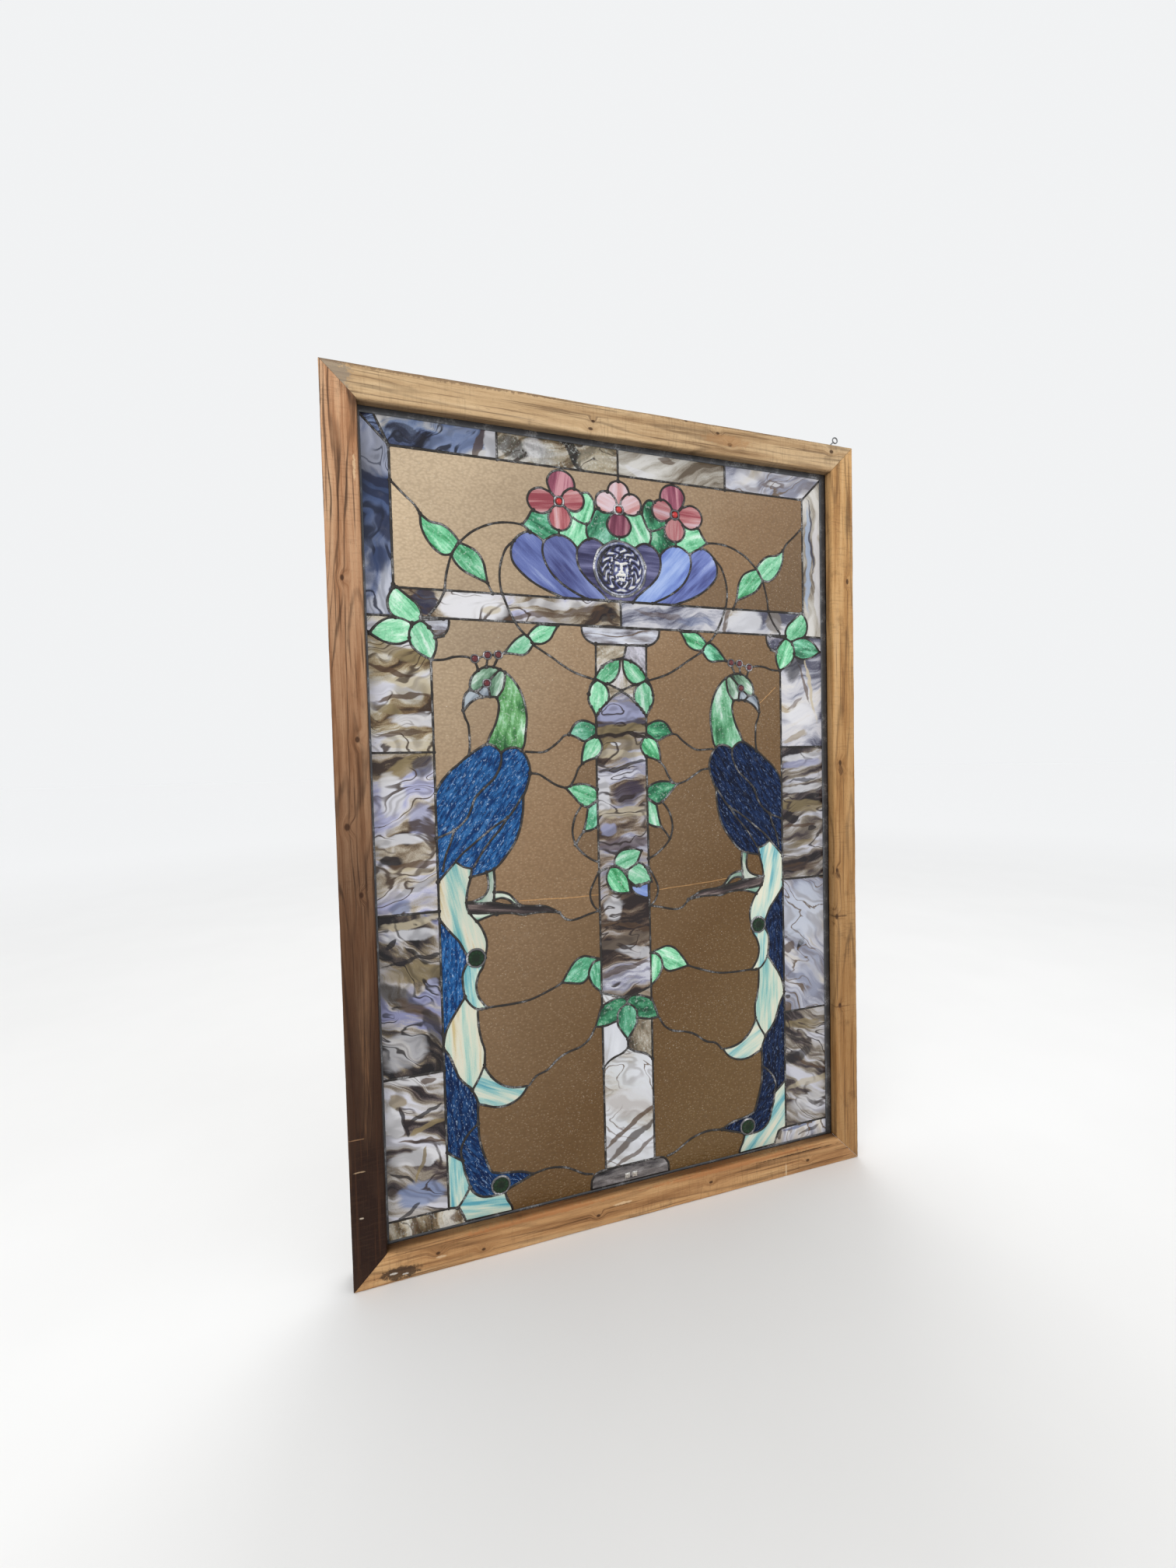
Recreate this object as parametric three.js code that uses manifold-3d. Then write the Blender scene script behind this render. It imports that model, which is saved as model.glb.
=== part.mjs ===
// A leaded stained glass window in a mitred wood frame, in millimetres.
// X runs to the viewer's right, Y runs from the viewer into the window, Z runs up.
// The origin is the middle of the underside, where the window stands on its sill.
import * as THREE from "three";
import { mergeVertices } from "three/addons/utils/BufferGeometryUtils.js";
import Module from "manifold-3d";

const wasm = await Module();
wasm.setup();

// Frame: four mitred boards with a rebate behind a front lip.
const windowWidth = 806;
const windowHeight = 1200;
const boardFace = 42.6;
const frameDepth = 38;
const lipDepth = 15.4;
const rebateWidth = 9;
const fit = 0.3;

// Leaded panel: glass, solder seams and the came round its edge.
const glassThickness = 3;
const seamWidth = 3.6;
const seamRelief = 0.7;
const cameFace = 11;
const cameThickness = 6.6;
const channelDepth = 5;
const panelLeft = -windowWidth / 2 + boardFace - rebateWidth + 0.4;
const panelBottom = boardFace - rebateWidth + 0.3;
const panelWidth = 730.2;
const panelHeight = 1127.1;
const axisX = panelLeft + panelWidth / 2;
const curveTolerance = 2;
const fineTolerance = 3.5;

// Heights of the level seams, and distances from the panel's axis of the upright ones.
const topBorderSeam = 1113;
const bandTop = 928.5;
const bandBottom = 890;
const footSeam = 70;
const upperBorder = 320;
const lowerBorder = 275;
const columnHalf = 40;
const topBorderJoint = 178;
const columnLean = -3.5;
const leanReach = 150;
const leanFade = 90;
const leanDrop = 190;
const sideJoints = [708, 489, 266];

// Rounds set in the glass.
const rondelRadius = 40.6;
const rondelSides = 20;
const rondelCentre = [0, 976];
const roundelRadius = 12.6;
const roundelSides = 12;
const roundelCentres = [
  [227, 418.5],
  [202, 86],
];
const jewelRadius = 5;
const crestJewels = [
  [216.5, 836.5],
  [199.5, 841.5],
  [184, 842.5],
];
const eye = [201, 803.5];
const flowerJewels = [
  [91, 1065],
  [0, 1063],
];
const flowerHeart = 8;
const jewelCollar = 1.6;
const jewelTable = 0.6;
const jewelStand = 2.6;
const jewelSides = 6;

// Retaining strips behind the panel, and the screw eye in the top edge.
const stripDepth = 12;
const stripWidth = 13;
const eyeWire = 2;
const eyeRing = 11;
const eyeStem = 15.5;
const eyeBuried = 12;
const eyeLean = 47;
const eyeFoot = [362, -9, windowHeight];

const frontY = -frameDepth / 2;
const backY = frameDepth / 2;
const lipBackY = frontY + lipDepth;
const cameHalf = cameThickness / 2;
const seamHalf = glassThickness / 2 + seamRelief;
const clear = glassThickness / 2 + 3;
const sightLeft = panelLeft + cameFace;
const sightRight = panelLeft + panelWidth - cameFace;
const sightBottom = panelBottom + cameFace;
const sightTop = panelBottom + panelHeight - cameFace;
const borderEdge = panelWidth / 2;
const backFace = glassThickness / 2;
const sheetInset = cameFace - channelDepth + fit;
const mitreGap = fit / Math.SQRT2;
const through = clear + 2;
const ridgeNear = -seamHalf;
const ridgeFar = -backFace + 0.5;

const finishes = {
  boardDark: { color: 0x6b3d22, roughness: 0.8, metalness: 0 },
  boardTan: { color: 0xb98a57, roughness: 0.8, metalness: 0 },
  boardGold: { color: 0xb67a3d, roughness: 0.8, metalness: 0 },
  strip: { color: 0x8a6a48, roughness: 0.85, metalness: 0 },
  came: { color: 0x4c4d50, roughness: 0.55, metalness: 0.7 },
  solder: { color: 0x3f3c3a, roughness: 0.5, metalness: 0.8 },
  steel: { color: 0x5d6064, roughness: 0.4, metalness: 0.9 },
  amber: { color: 0x9c7c52, roughness: 0.25, metalness: 0 },
  green: { color: 0x63b37c, roughness: 0.25, metalness: 0 },
  rose: { color: 0xb5626a, roughness: 0.25, metalness: 0 },
  violet: { color: 0x5f68a8, roughness: 0.25, metalness: 0 },
  cobalt: { color: 0x1f4a86, roughness: 0.3, metalness: 0 },
  tail: { color: 0xb9d8cc, roughness: 0.25, metalness: 0 },
  darkGreen: { color: 0x10301a, roughness: 0.15, metalness: 0 },
  opal: { color: 0xb8b3ac, roughness: 0.25, metalness: 0 },
  navy: { color: 0x3f516e, roughness: 0.25, metalness: 0 },
  rondel: { color: 0x4a4d86, roughness: 0.15, metalness: 0 },
};

const leadedWindow = new THREE.Group();

// Solids from three.js geometry, and back.
function solidOf(geometry) {
  const plain = geometry.clone();
  plain.deleteAttribute("normal");
  plain.deleteAttribute("uv");
  const merged = mergeVertices(plain, 1e-4);
  return new wasm.Manifold(
    new wasm.Mesh({
      numProp: 3,
      vertProperties: new Float32Array(merged.attributes.position.array),
      triVerts: new Uint32Array(merged.index.array),
    }),
  );
}

function addNode(name, solid, finish) {
  const made = solid.getMesh();
  const geometry = new THREE.BufferGeometry();
  geometry.setAttribute("position", new THREE.BufferAttribute(new Float32Array(made.vertProperties), 3));
  geometry.setIndex(new THREE.BufferAttribute(new Uint32Array(made.triVerts), 1));
  geometry.computeVertexNormals();
  const mesh = new THREE.Mesh(geometry, new THREE.MeshStandardMaterial(finishes[finish]));
  mesh.name = name;
  leadedWindow.add(mesh);
}

function joined(solids) {
  return solids.reduce((all, next) => all.add(next));
}

// The one body of a cut solid that matters, without the slivers that a cut leaves.
function largest(solid) {
  return solid.decompose().reduce((best, next) => (next.volume() > best.volume() ? next : best));
}

// An upright plate: an outline of [x, z] points between two depths.
function plate(points, nearY, farY, holes = []) {
  const shape = new THREE.Shape(points.map(([x, z]) => new THREE.Vector2(x, z)));
  for (const hole of holes) {
    shape.holes.push(new THREE.Path(hole.map(([x, z]) => new THREE.Vector2(x, z))));
  }
  const geometry = new THREE.ExtrudeGeometry(shape, { depth: farY - nearY, bevelEnabled: false });
  geometry.rotateX(Math.PI / 2);
  geometry.translate(0, farY, 0);
  return solidOf(geometry);
}

function rectangle(left, right, bottom, top) {
  return [
    [left, bottom],
    [right, bottom],
    [right, top],
    [left, top],
  ];
}

// Curves. A run is one smooth stretch, and a line is runs joined end to end at corners.
function samples(runs) {
  const out = [runs[0][0]];
  let last = runs[0][0];
  runs.forEach((run, i) => {
    const points = i === 0 ? run : [last, ...run];
    const curve = new THREE.SplineCurve(points.map(([x, z]) => new THREE.Vector2(x, z)));
    const steps = points.length > 2 ? 4 * (points.length - 1) : 1;
    curve
      .getPoints(steps)
      .slice(1)
      .forEach((p) => out.push([p.x, p.y]));
    last = points[points.length - 1];
  });
  return out;
}

// The points of a line that its shape needs, to a tolerance.
function thinned(points, tolerance) {
  if (points.length < 3) return points;
  const [ax, az] = points[0];
  const [bx, bz] = points[points.length - 1];
  const length = Math.hypot(bx - ax, bz - az) || 1e-6;
  const away = points.map(([x, z]) =>
    length < 1 ? Math.hypot(x - ax, z - az) : Math.abs((bx - ax) * (z - az) - (bz - az) * (x - ax)) / length,
  );
  const far = away.indexOf(Math.max(...away));
  if (away[far] < tolerance) return [points[0], points[points.length - 1]];
  const before = thinned(points.slice(0, far + 1), tolerance);
  const after = thinned(points.slice(far), tolerance);
  return [...before.slice(0, -1), ...after];
}

// The column stands a little left of the panel's axis, and what hangs on it leans with it.
function lean(distance, z) {
  const reach = THREE.MathUtils.clamp((leanReach - Math.abs(distance)) / leanFade, 0, 1);
  const drop = THREE.MathUtils.clamp((bandBottom - z) / leanDrop, 0, 1);
  return columnLean * reach * drop;
}

function placed(points, side) {
  return points.map(([distance, z]) => [axisX + side * distance + lean(distance, z), z]);
}

// The left and right edges of a band of a given width along a line.
function offsetLine(points, distance, closed) {
  const n = points.length;
  return points.map(([x, z], i) => {
    const before = points[closed ? (i + n - 1) % n : Math.max(i - 1, 0)];
    const after = points[closed ? (i + 1) % n : Math.min(i + 1, n - 1)];
    const inward = new THREE.Vector2(x - before[0], z - before[1]).normalize();
    const onward = new THREE.Vector2(after[0] - x, after[1] - z).normalize();
    if (!closed && i === 0) inward.copy(onward);
    if (!closed && i === n - 1) onward.copy(inward);
    const bisector = inward.clone().add(onward).normalize();
    const mitre = Math.max(bisector.dot(onward), 0.45);
    const reach = distance / mitre;
    return [x - bisector.y * reach, z + bisector.x * reach];
  });
}

// A seam's solid: a band along an open line, run on past both ends by half its width.
function band(line, width, half) {
  const n = line.length;
  const run = line.map((p) => [...p]);
  const past = (end, inner) => {
    const length = Math.hypot(end[0] - inner[0], end[1] - inner[1]);
    const reach = width / 2 / length;
    return [end[0] + (end[0] - inner[0]) * reach, end[1] + (end[1] - inner[1]) * reach];
  };
  run[0] = past(line[0], line[1]);
  run[n - 1] = past(line[n - 1], line[n - 2]);
  const outline = [...offsetLine(run, width / 2, false), ...offsetLine(run, -width / 2, false).reverse()];
  return plate(outline, -half, half);
}

// A closed outline's plate, with the outline grown outward by a distance.
function figure(outline, grow, half) {
  const turning = THREE.ShapeUtils.area(outline.map(([x, z]) => new THREE.Vector2(x, z)));
  const grown = offsetLine(outline, turning > 0 ? -grow : grow, true);
  return plate(grown, -half, half);
}

function circle([distance, z], radius, sides) {
  return Array.from({ length: sides }, (_, i) => {
    const turn = (2 * Math.PI * i) / sides;
    return [distance + radius * Math.cos(turn), z + radius * Math.sin(turn)];
  });
}

// The drawing of the window's lead lines, as [distance from the axis, height] on one half.
// Each group of outlines is one figure, and figures further down the list lie over earlier ones.
function petal([x, z], turn, length, width) {
  const angle = THREE.MathUtils.degToRad(turn);
  const spread = 2.35;
  const points = [[x, z]];
  for (let i = 0; i <= 5; i += 1) {
    const sweep = -spread + (2 * spread * i) / 5;
    const along = length * (0.57 + 0.43 * Math.cos(sweep));
    const across = (width / 2) * Math.sin(sweep);
    points.push([
      x + along * Math.cos(angle) - across * Math.sin(angle),
      z + along * Math.sin(angle) + across * Math.cos(angle),
    ]);
  }
  return points;
}

const sideFlower = [
  petal([91, 1065], 98, 45, 41),
  petal([91, 1065], 3, 47, 37),
  petal([91, 1065], 168, 38, 34),
  petal([91, 1065], 268, 41, 34),
];
const middleFlower = [
  petal([0, 1063], 90, 43, 34),
  petal([0, 1063], 28, 38, 32),
  petal([0, 1063], 152, 38, 32),
  petal([0, 1063], 270, 40, 38),
];

const bowlOutline = [
  [[0, 1000], [20, 1006], [33, 1015], [44, 1017], [55, 1012], [65, 1001]],
  [[74, 1011], [86, 1017], [98, 1017], [108, 1012], [115, 1007]],
  [[125, 1014], [136, 1018], [147, 1014], [157, 1004], [162, 990], [160, 975], [150, 962],
    [134, 949], [113, 938], [86, bandTop]],
  [[0, bandTop]],
];
const greensOutline = [
  [[0, 1058], [30, 1062], [38, 1074], [47, 1082], [57, 1081]],
  [[90, 1066], [132, 1048]],
  [[138, 1037], [145, 1027]],
  [[135, 1019], [120, 1000]],
  [[60, 985], [0, 990]],
];
const cornerLeaves = [
  [[318, 930], [326, 917], [328, 905], [324, 893], [316, 887]],
  [[327, 887], [341, 879], [352, 866]],
  [[335, 856], [317, 853], [302, 860]],
  [[300, 853], [290, 842], [274, 833]],
  [[268, 848], [268, 863], [276, 877], [286, 886]],
  [[286, 897], [291, 907], [301, 916], [318, 930]],
];
// These stand across the axis, so each is drawn from the axis round to the axis again.
const capitalOutline = [
  [[0, bandBottom], [62, bandBottom]],
  [[60, 878], [53, 869], [43, 864]],
  [[0, 864]],
];
const baseOutline = [
  [[0, 71], [42, 71]],
  [[56, 68], [63, 58]],
  [[64, 30]],
  [[0, 30]],
];
const wreathOutline = [
  [[0, 844], [15, 840], [30, 831], [42, 812]],
  [[48, 803], [51, 790], [50, 778], [40, 758]],
  [[31, 770], [22, 779], [12, 788], [0, 795]],
];
const lowerLeafOutline = [
  [[0, 325], [5, 331], [16, 332], [29, 328], [40, 322], [46, 308], [51, 293]],
  [[36, 292], [16, 297]],
  [[14, 286], [8, 277], [0, 266]],
];
const headOutline = [
  [[212, 821], [220, 813], [224, 803], [224, 794], [231, 787], [234, 775], [234.5, 763]],
  [[226, 774], [216, 781], [206, 784], [188, 784]],
  [[185, 773], [187, 758], [192, 743], [199, 729], [204, 716]],
  [[190, 700], [160, 702]],
  [[151, 716], [148, 735], [146, 752], [147, 768], [151, 785], [158, 800], [168, 813], [179, 821],
    [192, 826], [204, 825], [212, 821]],
];
const bodyOutline = [
  [[lowerBorder, 652], [266, 668], [254, 682], [243, 691], [230, 702], [215, 712], [203, 718],
    [192, 714], [184, 706]],
  [[176, 711], [165, 713], [155, 709], [147, 697], [143, 683], [144, 671], [149, 655], [154, 643]],
  [[156, 625], [158, 605], [165, 584], [176, 566], [190, 549], [203, 540], [216, 537], [232, 534]],
  [[lowerBorder, 520]],
];
const trainOutline = [
  [[lowerBorder, 530], [265, 541], [251, 556]],
  [[240, 548], [229, 545]],
  [[232, 530], [236, 515], [238, 500], [237, 489], [231, 478], [223, 468], [216, 455], [212, 442],
    [212, 430], [215, 415], [224, 395], [228, 380], [226, 365], [220, 354], [213, 345]],
  [[227, 344]],
  [[226, 318], [223, 300], [219, 285], [220, 262]],
  [[213, 249], [205, 239], [194, 230], [182, 225], [170, 223], [159, 223]],
  [[167, 212], [178, 204], [192, 200], [207, 201], [230, 209]],
  [[232, 190], [231, 175], [230, 160], [227, 145], [222, 128], [217, 113], [211, 107]],
  [[185, 101], [170, 98], [155, 91]],
  [[170, 85], [185, 80], [196, 76]],
  [[193, 62], [187, 50], [186, 30]],
  [[253, 30], [254, 50]],
  [[257, 60], [263, 67], [lowerBorder, footSeam]],
];

// Seams that part one pane of the model from the next.
const partingSeams = {
  topBorder: [[[0, topBorderSeam], [upperBorder, topBorderSeam]]],
  mitre: [[[upperBorder, topBorderSeam], [borderEdge, topBorderSeam + borderEdge - upperBorder]]],
  topJoint: [[[topBorderJoint, topBorderSeam], [topBorderJoint, 1170]]],
  upperBorder: [[[upperBorder, topBorderSeam], [upperBorder, bandTop]]],
  bandTop: [[[0, bandTop], [upperBorder, bandTop]]],
  bandBottom: [[[0, bandBottom], [borderEdge, bandBottom]]],
  lowerBorder: [[[lowerBorder, bandBottom], [lowerBorder, footSeam]]],
  joint0: [[[lowerBorder, sideJoints[0]], [borderEdge, sideJoints[0]]]],
  joint1: [[[lowerBorder, sideJoints[1]], [borderEdge, sideJoints[1]]]],
  joint2: [[[lowerBorder, sideJoints[2]], [borderEdge, sideJoints[2]]]],
  columnEdge: [[[columnHalf, 864], [columnHalf, 60]]],
  rondelFoot: [[[0, rondelCentre[1] - rondelRadius], [0, bandTop]]],
};
const middleSeams = {
  topJoint: [[[0, 1100], [0, 1170]]],
  bandJoint: [[[0, bandTop], [0, bandBottom]]],
  greensJoint: [[[0, 1030], [0, 1010]]],
};

// Finer seams, raised on the panes that they cross.
const fineLeaves = [
  [[[283, 1028], [271, 1019], [255, 1016], [243, 1008], [233, 996]],
    [[244, 977]], [[255, 976], [266, 983], [276, 996], [282, 1011], [283, 1028]]],
  [[[233, 994], [221, 990], [209, 983], [201, 970], [198, 955], [196, 942]],
    [[213, 949], [229, 957], [239, 967], [244, 977]], [[233, 994]]],
  [[[97, 888], [124, 888]], [[135, 880], [142, 871]], [[135, 862], [121, 861], [109, 868], [97, 888]]],
  [[[175, 846], [166, 858], [157, 867], [146, 873], [134, 859]],
    [[142, 848], [150, 844], [161, 845], [175, 846]]],
  [[[82, 731], [74, 745], [64, 751], [53, 750], [columnHalf, 744]],
    [[columnHalf, 731]], [[47, 727], [58, 721], [71, 727], [82, 731]]],
  [[[42, 727], [54, 722], [59, 714], [62, 700], [63, 688]],
    [[52, 693], [40, 697], [33, 705], [31, 715], [36, 725], [42, 727]]],
  [[[89, 653], [77, 657], [62, 658], [50, 655], [columnHalf, 649]],
    [[columnHalf, 634]], [[47, 629], [57, 624], [67, 629], [77, 640], [89, 653]]],
  [[[columnHalf, 632], [55, 622]], [[58, 605], [62, 588]], [[52, 589], [columnHalf, 594]]],
  [[[102, 367], [92, 383], [80, 397], [67, 402], [54, 399], [42, 395]],
    [[60, 372]], [[64, 366], [72, 362], [87, 364], [102, 367]]],
  [[[columnHalf, 394], [51, 391], [58, 381], [59, 370], [54, 358], [47, 350], [columnHalf, 344]]],
];
const fineSeams = [
  [[[319, 1067], [304, 1052], [290, 1039], [283, 1028]]],
  [[[244, 977], [248, 963], [252, 946], [254, bandTop]], [[264, 908], [276, 893]]],
  [[[233, 995], [200, 1019], [170, 1028], [145, 1027]]],
  [[[158, 1003], [168, 993], [174, 980], [178, 965], [179, 948], [177, 932], [168, 908], [159, bandBottom],
    [143, 871]]],
  [[[134, 859], [105, 841], [72, 821], [44, 812]]],
  [[[273, 833], [258, 834], [245, 838], [230, 839], [216.5, 836.5]],
    [[199, 842]], [[184, 843]], [[175, 846]]],
  [[[234, 763], [228, 745], [227, 730], [228, 715], [230, 702]]],
  [[[150, 707], [122, 706], [110, 712], [97, 722], [82, 731]]],
  [[[143, 676], [130, 674], [104, 658], [89, 653]]],
  [[[67, 629], [74, 613], [79, 598], [80, 585], [76, 570]], [[67, 558], [52, 546], [columnHalf, 541]]],
  [[[columnHalf, 526], [48, 512], [54, 498], [54, 487], [49, 475], [42, 468]]],
  [[[213, 345], [180, 345], [145, 351], [115, 362], [102, 367]]],
  [[[159, 223], [146, 235], [129, 241], [111, 255], [95, 262], [75, 267], [61, 277], [51, 293]]],
  [[[155, 91], [130, 94], [107, 89], [80, 73], [60, 68]]],
  [[[209, 538], [207, 525], [208, 513], [215, 504], [228, 499]]],
  [[[237, 497], [200, 494], [185, 490], [150, 485], [128, 483], [114, 477], [104, 471]]],
  [[[224, 470], [195, 478], [160, 473], [125, 474], [104, 471]]],
  [[[104, 471], [93, 460], [84, 458], [58, 464], [42, 468]]],
  [[[184, 706], [184, 694], [194, 671], [222, 643], [233, 617], [243, 606], [lowerBorder, 590]]],
  [[[154, 646], [173, 618], [182, 611], [195, 603], [225, 580], [251, 556]]],
  [[[178, 613], [200, 585], [221, 556], [229, 545]]],
  [[[224, 793], [208, 797], [201, 803], [183, 822]]],
  [[[lowerBorder, 478], [258, 455], [250, 445], [243, 425]]],
  [[[243, 412], [246, 398], [244, 365]], [[238, 355], [227, 344]]],
  [[[244, 365], [265, 333], [272, 317], [lowerBorder, 299]]],
  [[[lowerBorder, 299], [267, 284], [256, 254], [248, 243], [238, 231]]],
  [[[220, 262], [238, 231]], [[230, 209]]],
  [[[231, 182], [244, 171], [256, 145], [254, 133]]],
  [[[lowerBorder, 150], [254, 133]], [[248, 105], [245, 93], [240, 84], [230, 76], [204, 74]]],
  [[[115, 1007], [117, 993], [113, 977], [104, 962], [90, 949], [50, bandTop]]],
  [[[65, 1001], [66, 985], [61, 970], [50, 957], [20, bandTop]]],
  [[[71, 1045], [63, 1040], [50, 1037], [44, 1043], [37, 1060]]],
  [[[columnHalf, 343], [26, 338], [0, 332]]],
  [[[0, 266], [0, 253]], [[9, 246], [21, 242], [columnHalf, 228]]],
  [[[lowerBorder, footSeam], [borderEdge, footSeam]]],
  [[[42, 815], [33, 809], [21, 806], [10, 813], [3, 826]]],
  [[[312, 886], [286, 886]]],
];
const shaftLeaves = [
  [[[28, 553], [18, 557], [3, 557], [-8, 553], [-15, 543], [-15, 535]],
    [[-7, 530], [5, 525], [16, 530], [28, 553]]],
  [[[-22, 532], [-28, 520], [-27, 508], [-20, 496], [-7, 491], [9, 491]], [[6, 510], [0, 522], [-22, 532]]],
  [[[5, 525], [23, 535], [33, 530], [40, 518], [45, 504]], [[33, 503], [20, 500], [11, 506], [5, 525]]],
];

// One figure's outlines on the panel, on the left (-1), right (1) or both halves at once (0).
function outlinesOf(shapes, side, tolerance = curveTolerance) {
  return shapes.map((shape) => {
    const isRuns = Array.isArray(shape[0][0]);
    const points = isRuns ? samples(shape) : shape;
    const first = points[0];
    const last = points[points.length - 1];
    const open = Math.hypot(first[0] - last[0], first[1] - last[1]) < 0.01 ? points.slice(0, -1) : points;
    const half = Math.floor(open.length / 2);
    const thin = [
      ...thinned(open.slice(0, half + 1), tolerance).slice(0, -1),
      ...thinned([...open.slice(half), open[0]], tolerance).slice(0, -1),
    ];
    return placed(thin, side);
  });
}

const bothSides = [-1, 1];
const sideNames = { "-1": "left", 1: "right" };

function acrossAxis(runs) {
  const half = thinned(samples(runs), curveTolerance);
  return [...placed(half, 1), ...placed(half.slice(1, -1), -1).reverse()];
}

const figures = [
  { name: "flower_greens", finish: "green", outlines: [acrossAxis(greensOutline)] },
  ...bothSides.map((side) => ({
    name: `bowl_${sideNames[side]}`,
    finish: "violet",
    outlines: outlinesOf([bowlOutline], side),
  })),
  { name: "lion_rondel", outlines: [placed(circle(rondelCentre, rondelRadius, rondelSides), 1)] },
  ...bothSides.map((side) => ({
    name: `flower_${sideNames[side]}`,
    finish: "rose",
    outlines: outlinesOf(sideFlower, side),
    heart: placed(circle([91, 1065], flowerHeart, 8), side),
  })),
  {
    name: "flower_middle",
    finish: "rose",
    outlines: outlinesOf(middleFlower, 1),
    heart: placed(circle([0, 1063], flowerHeart, 8), 1),
  },
  { name: "column_capital", finish: "opal", outlines: [acrossAxis(capitalOutline)] },
  { name: "column_base", finish: "opal", outlines: [acrossAxis(baseOutline)] },
  { name: "column_wreath", finish: "green", outlines: [acrossAxis(wreathOutline)] },
  { name: "column_leaves", finish: "green", outlines: [acrossAxis(lowerLeafOutline)] },
  ...bothSides.flatMap((side) => [
    { name: `corner_leaves_${sideNames[side]}`, finish: "green", outlines: outlinesOf([cornerLeaves], side) },
    { name: `peacock_head_${sideNames[side]}`, finish: "green", outlines: outlinesOf([headOutline], side) },
    { name: `peacock_body_${sideNames[side]}`, finish: "cobalt", outlines: outlinesOf([bodyOutline], side) },
    { name: `peacock_train_${sideNames[side]}`, finish: "tail", outlines: outlinesOf([trainOutline], side) },
    ...roundelCentres.map((centre, i) => ({
      name: `roundel_${sideNames[side]}_${i + 1}`,
      outlines: [placed(circle(centre, roundelRadius, roundelSides), side)],
    })),
  ]),
];

const sightBlock = plate(
  rectangle(sightLeft + fit, sightRight - fit, sightBottom + fit, sightTop - fit),
  -clear,
  clear,
);

function lineOf(runs, side, tolerance) {
  return placed(thinned(samples(runs), tolerance), side);
}

const partingLines = [
  ...bothSides.flatMap((s) => Object.values(partingSeams).map((runs) => lineOf(runs, s, curveTolerance))),
  ...Object.values(middleSeams).map((runs) => lineOf(runs, 1, curveTolerance)),
];

function grownFigure(entry, grow, half) {
  const solids = entry.outlines.map((outline) => figure(outline, grow, half));
  if (entry.heart) solids.push(figure(entry.heart, grow, half));
  return joined(solids);
}

// The net of solder seams: bands along the parting lines, then a rim round each figure in turn.
function solderNet() {
  let net = joined(partingLines.map((line) => band(line, seamWidth, seamHalf)));
  for (const entry of figures) {
    net = net.add(grownFigure(entry, seamWidth / 2, seamHalf));
    net = net.subtract(grownFigure(entry, -seamWidth / 2, clear));
  }
  return largest(net.intersect(sightBlock));
}

// Low ridges of solder on the front of the panes, for the finer seams.
function fineRidges() {
  const half = (ridgeFar - ridgeNear) / 2;
  const lines = bothSides.flatMap((s) => fineSeams.map((runs) => lineOf(runs, s, fineTolerance)));
  let ridges = joined(lines.map((line) => band(line, seamWidth, half)));
  const leaves = [
    ...bothSides.flatMap((s) => outlinesOf(fineLeaves, s, fineTolerance)),
    ...outlinesOf(shaftLeaves, 1, fineTolerance),
  ];
  for (const outline of leaves) ridges = ridges.add(figure(outline, seamWidth / 2, half));
  return ridges.translate(0, ridgeNear + half, 0).intersect(sightBlock);
}

// A round of glass turned about the line of sight: its profile is [radius, height toward the viewer].
function round(profile, centre, side, sides) {
  const points = profile.map(([radius, height]) => new THREE.Vector2(radius, height));
  const geometry = new THREE.LatheGeometry(points, sides);
  geometry.rotateX(Math.PI);
  const [[x, z]] = placed([centre], side);
  geometry.translate(x, 0, z);
  return geometry;
}

// A cut jewel standing up in its collar of solder.
function jewel(centre, side) {
  const profile = [
    [0, 0],
    [jewelRadius + jewelCollar, 0],
    [jewelRadius + jewelCollar, backFace + seamRelief],
    [jewelRadius * jewelTable, backFace + jewelStand],
    [0, backFace + jewelStand],
  ];
  return solidOf(round(profile, centre, side, jewelSides));
}

// The glass before it is parted: one sheet with the fine ridges and the jewels standing on it.
function glassStock() {
  const sheet = plate(
    rectangle(
      panelLeft + sheetInset,
      panelLeft + panelWidth - sheetInset,
      panelBottom + sheetInset,
      panelBottom + panelHeight - sheetInset,
    ),
    -backFace,
    backFace,
  );
  const jewels = bothSides.flatMap((side) =>
    [...crestJewels, eye, flowerJewels[0]].map((centre) => jewel(centre, side)),
  );
  return joined([sheet, fineRidges(), ...jewels, jewel(flowerJewels[1], 1)]);
}

// The lion's mask on the rondel: a rim, a ruff of locks, then brow, cheeks and muzzle.
function lionHeight(radius, turn) {
  const up = radius * Math.cos(turn);
  const across = radius * Math.sin(turn);
  const bump = (x, z, size, height) =>
    height * Math.exp(-((across - x) ** 2 + (up - z) ** 2) / (2 * size * size));
  const locks = 1.3 * Math.cos(9 * turn) * THREE.MathUtils.smoothstep(radius, 13, 21);
  const muzzle = bump(0, -6, 6, 3.4);
  const brows = bump(-6, 7, 4, 2) + bump(6, 7, 4, 2);
  const eyes = bump(-6, 2, 2.4, -1.4) + bump(6, 2, 2.4, -1.4);
  return locks + muzzle + brows + eyes;
}

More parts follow.
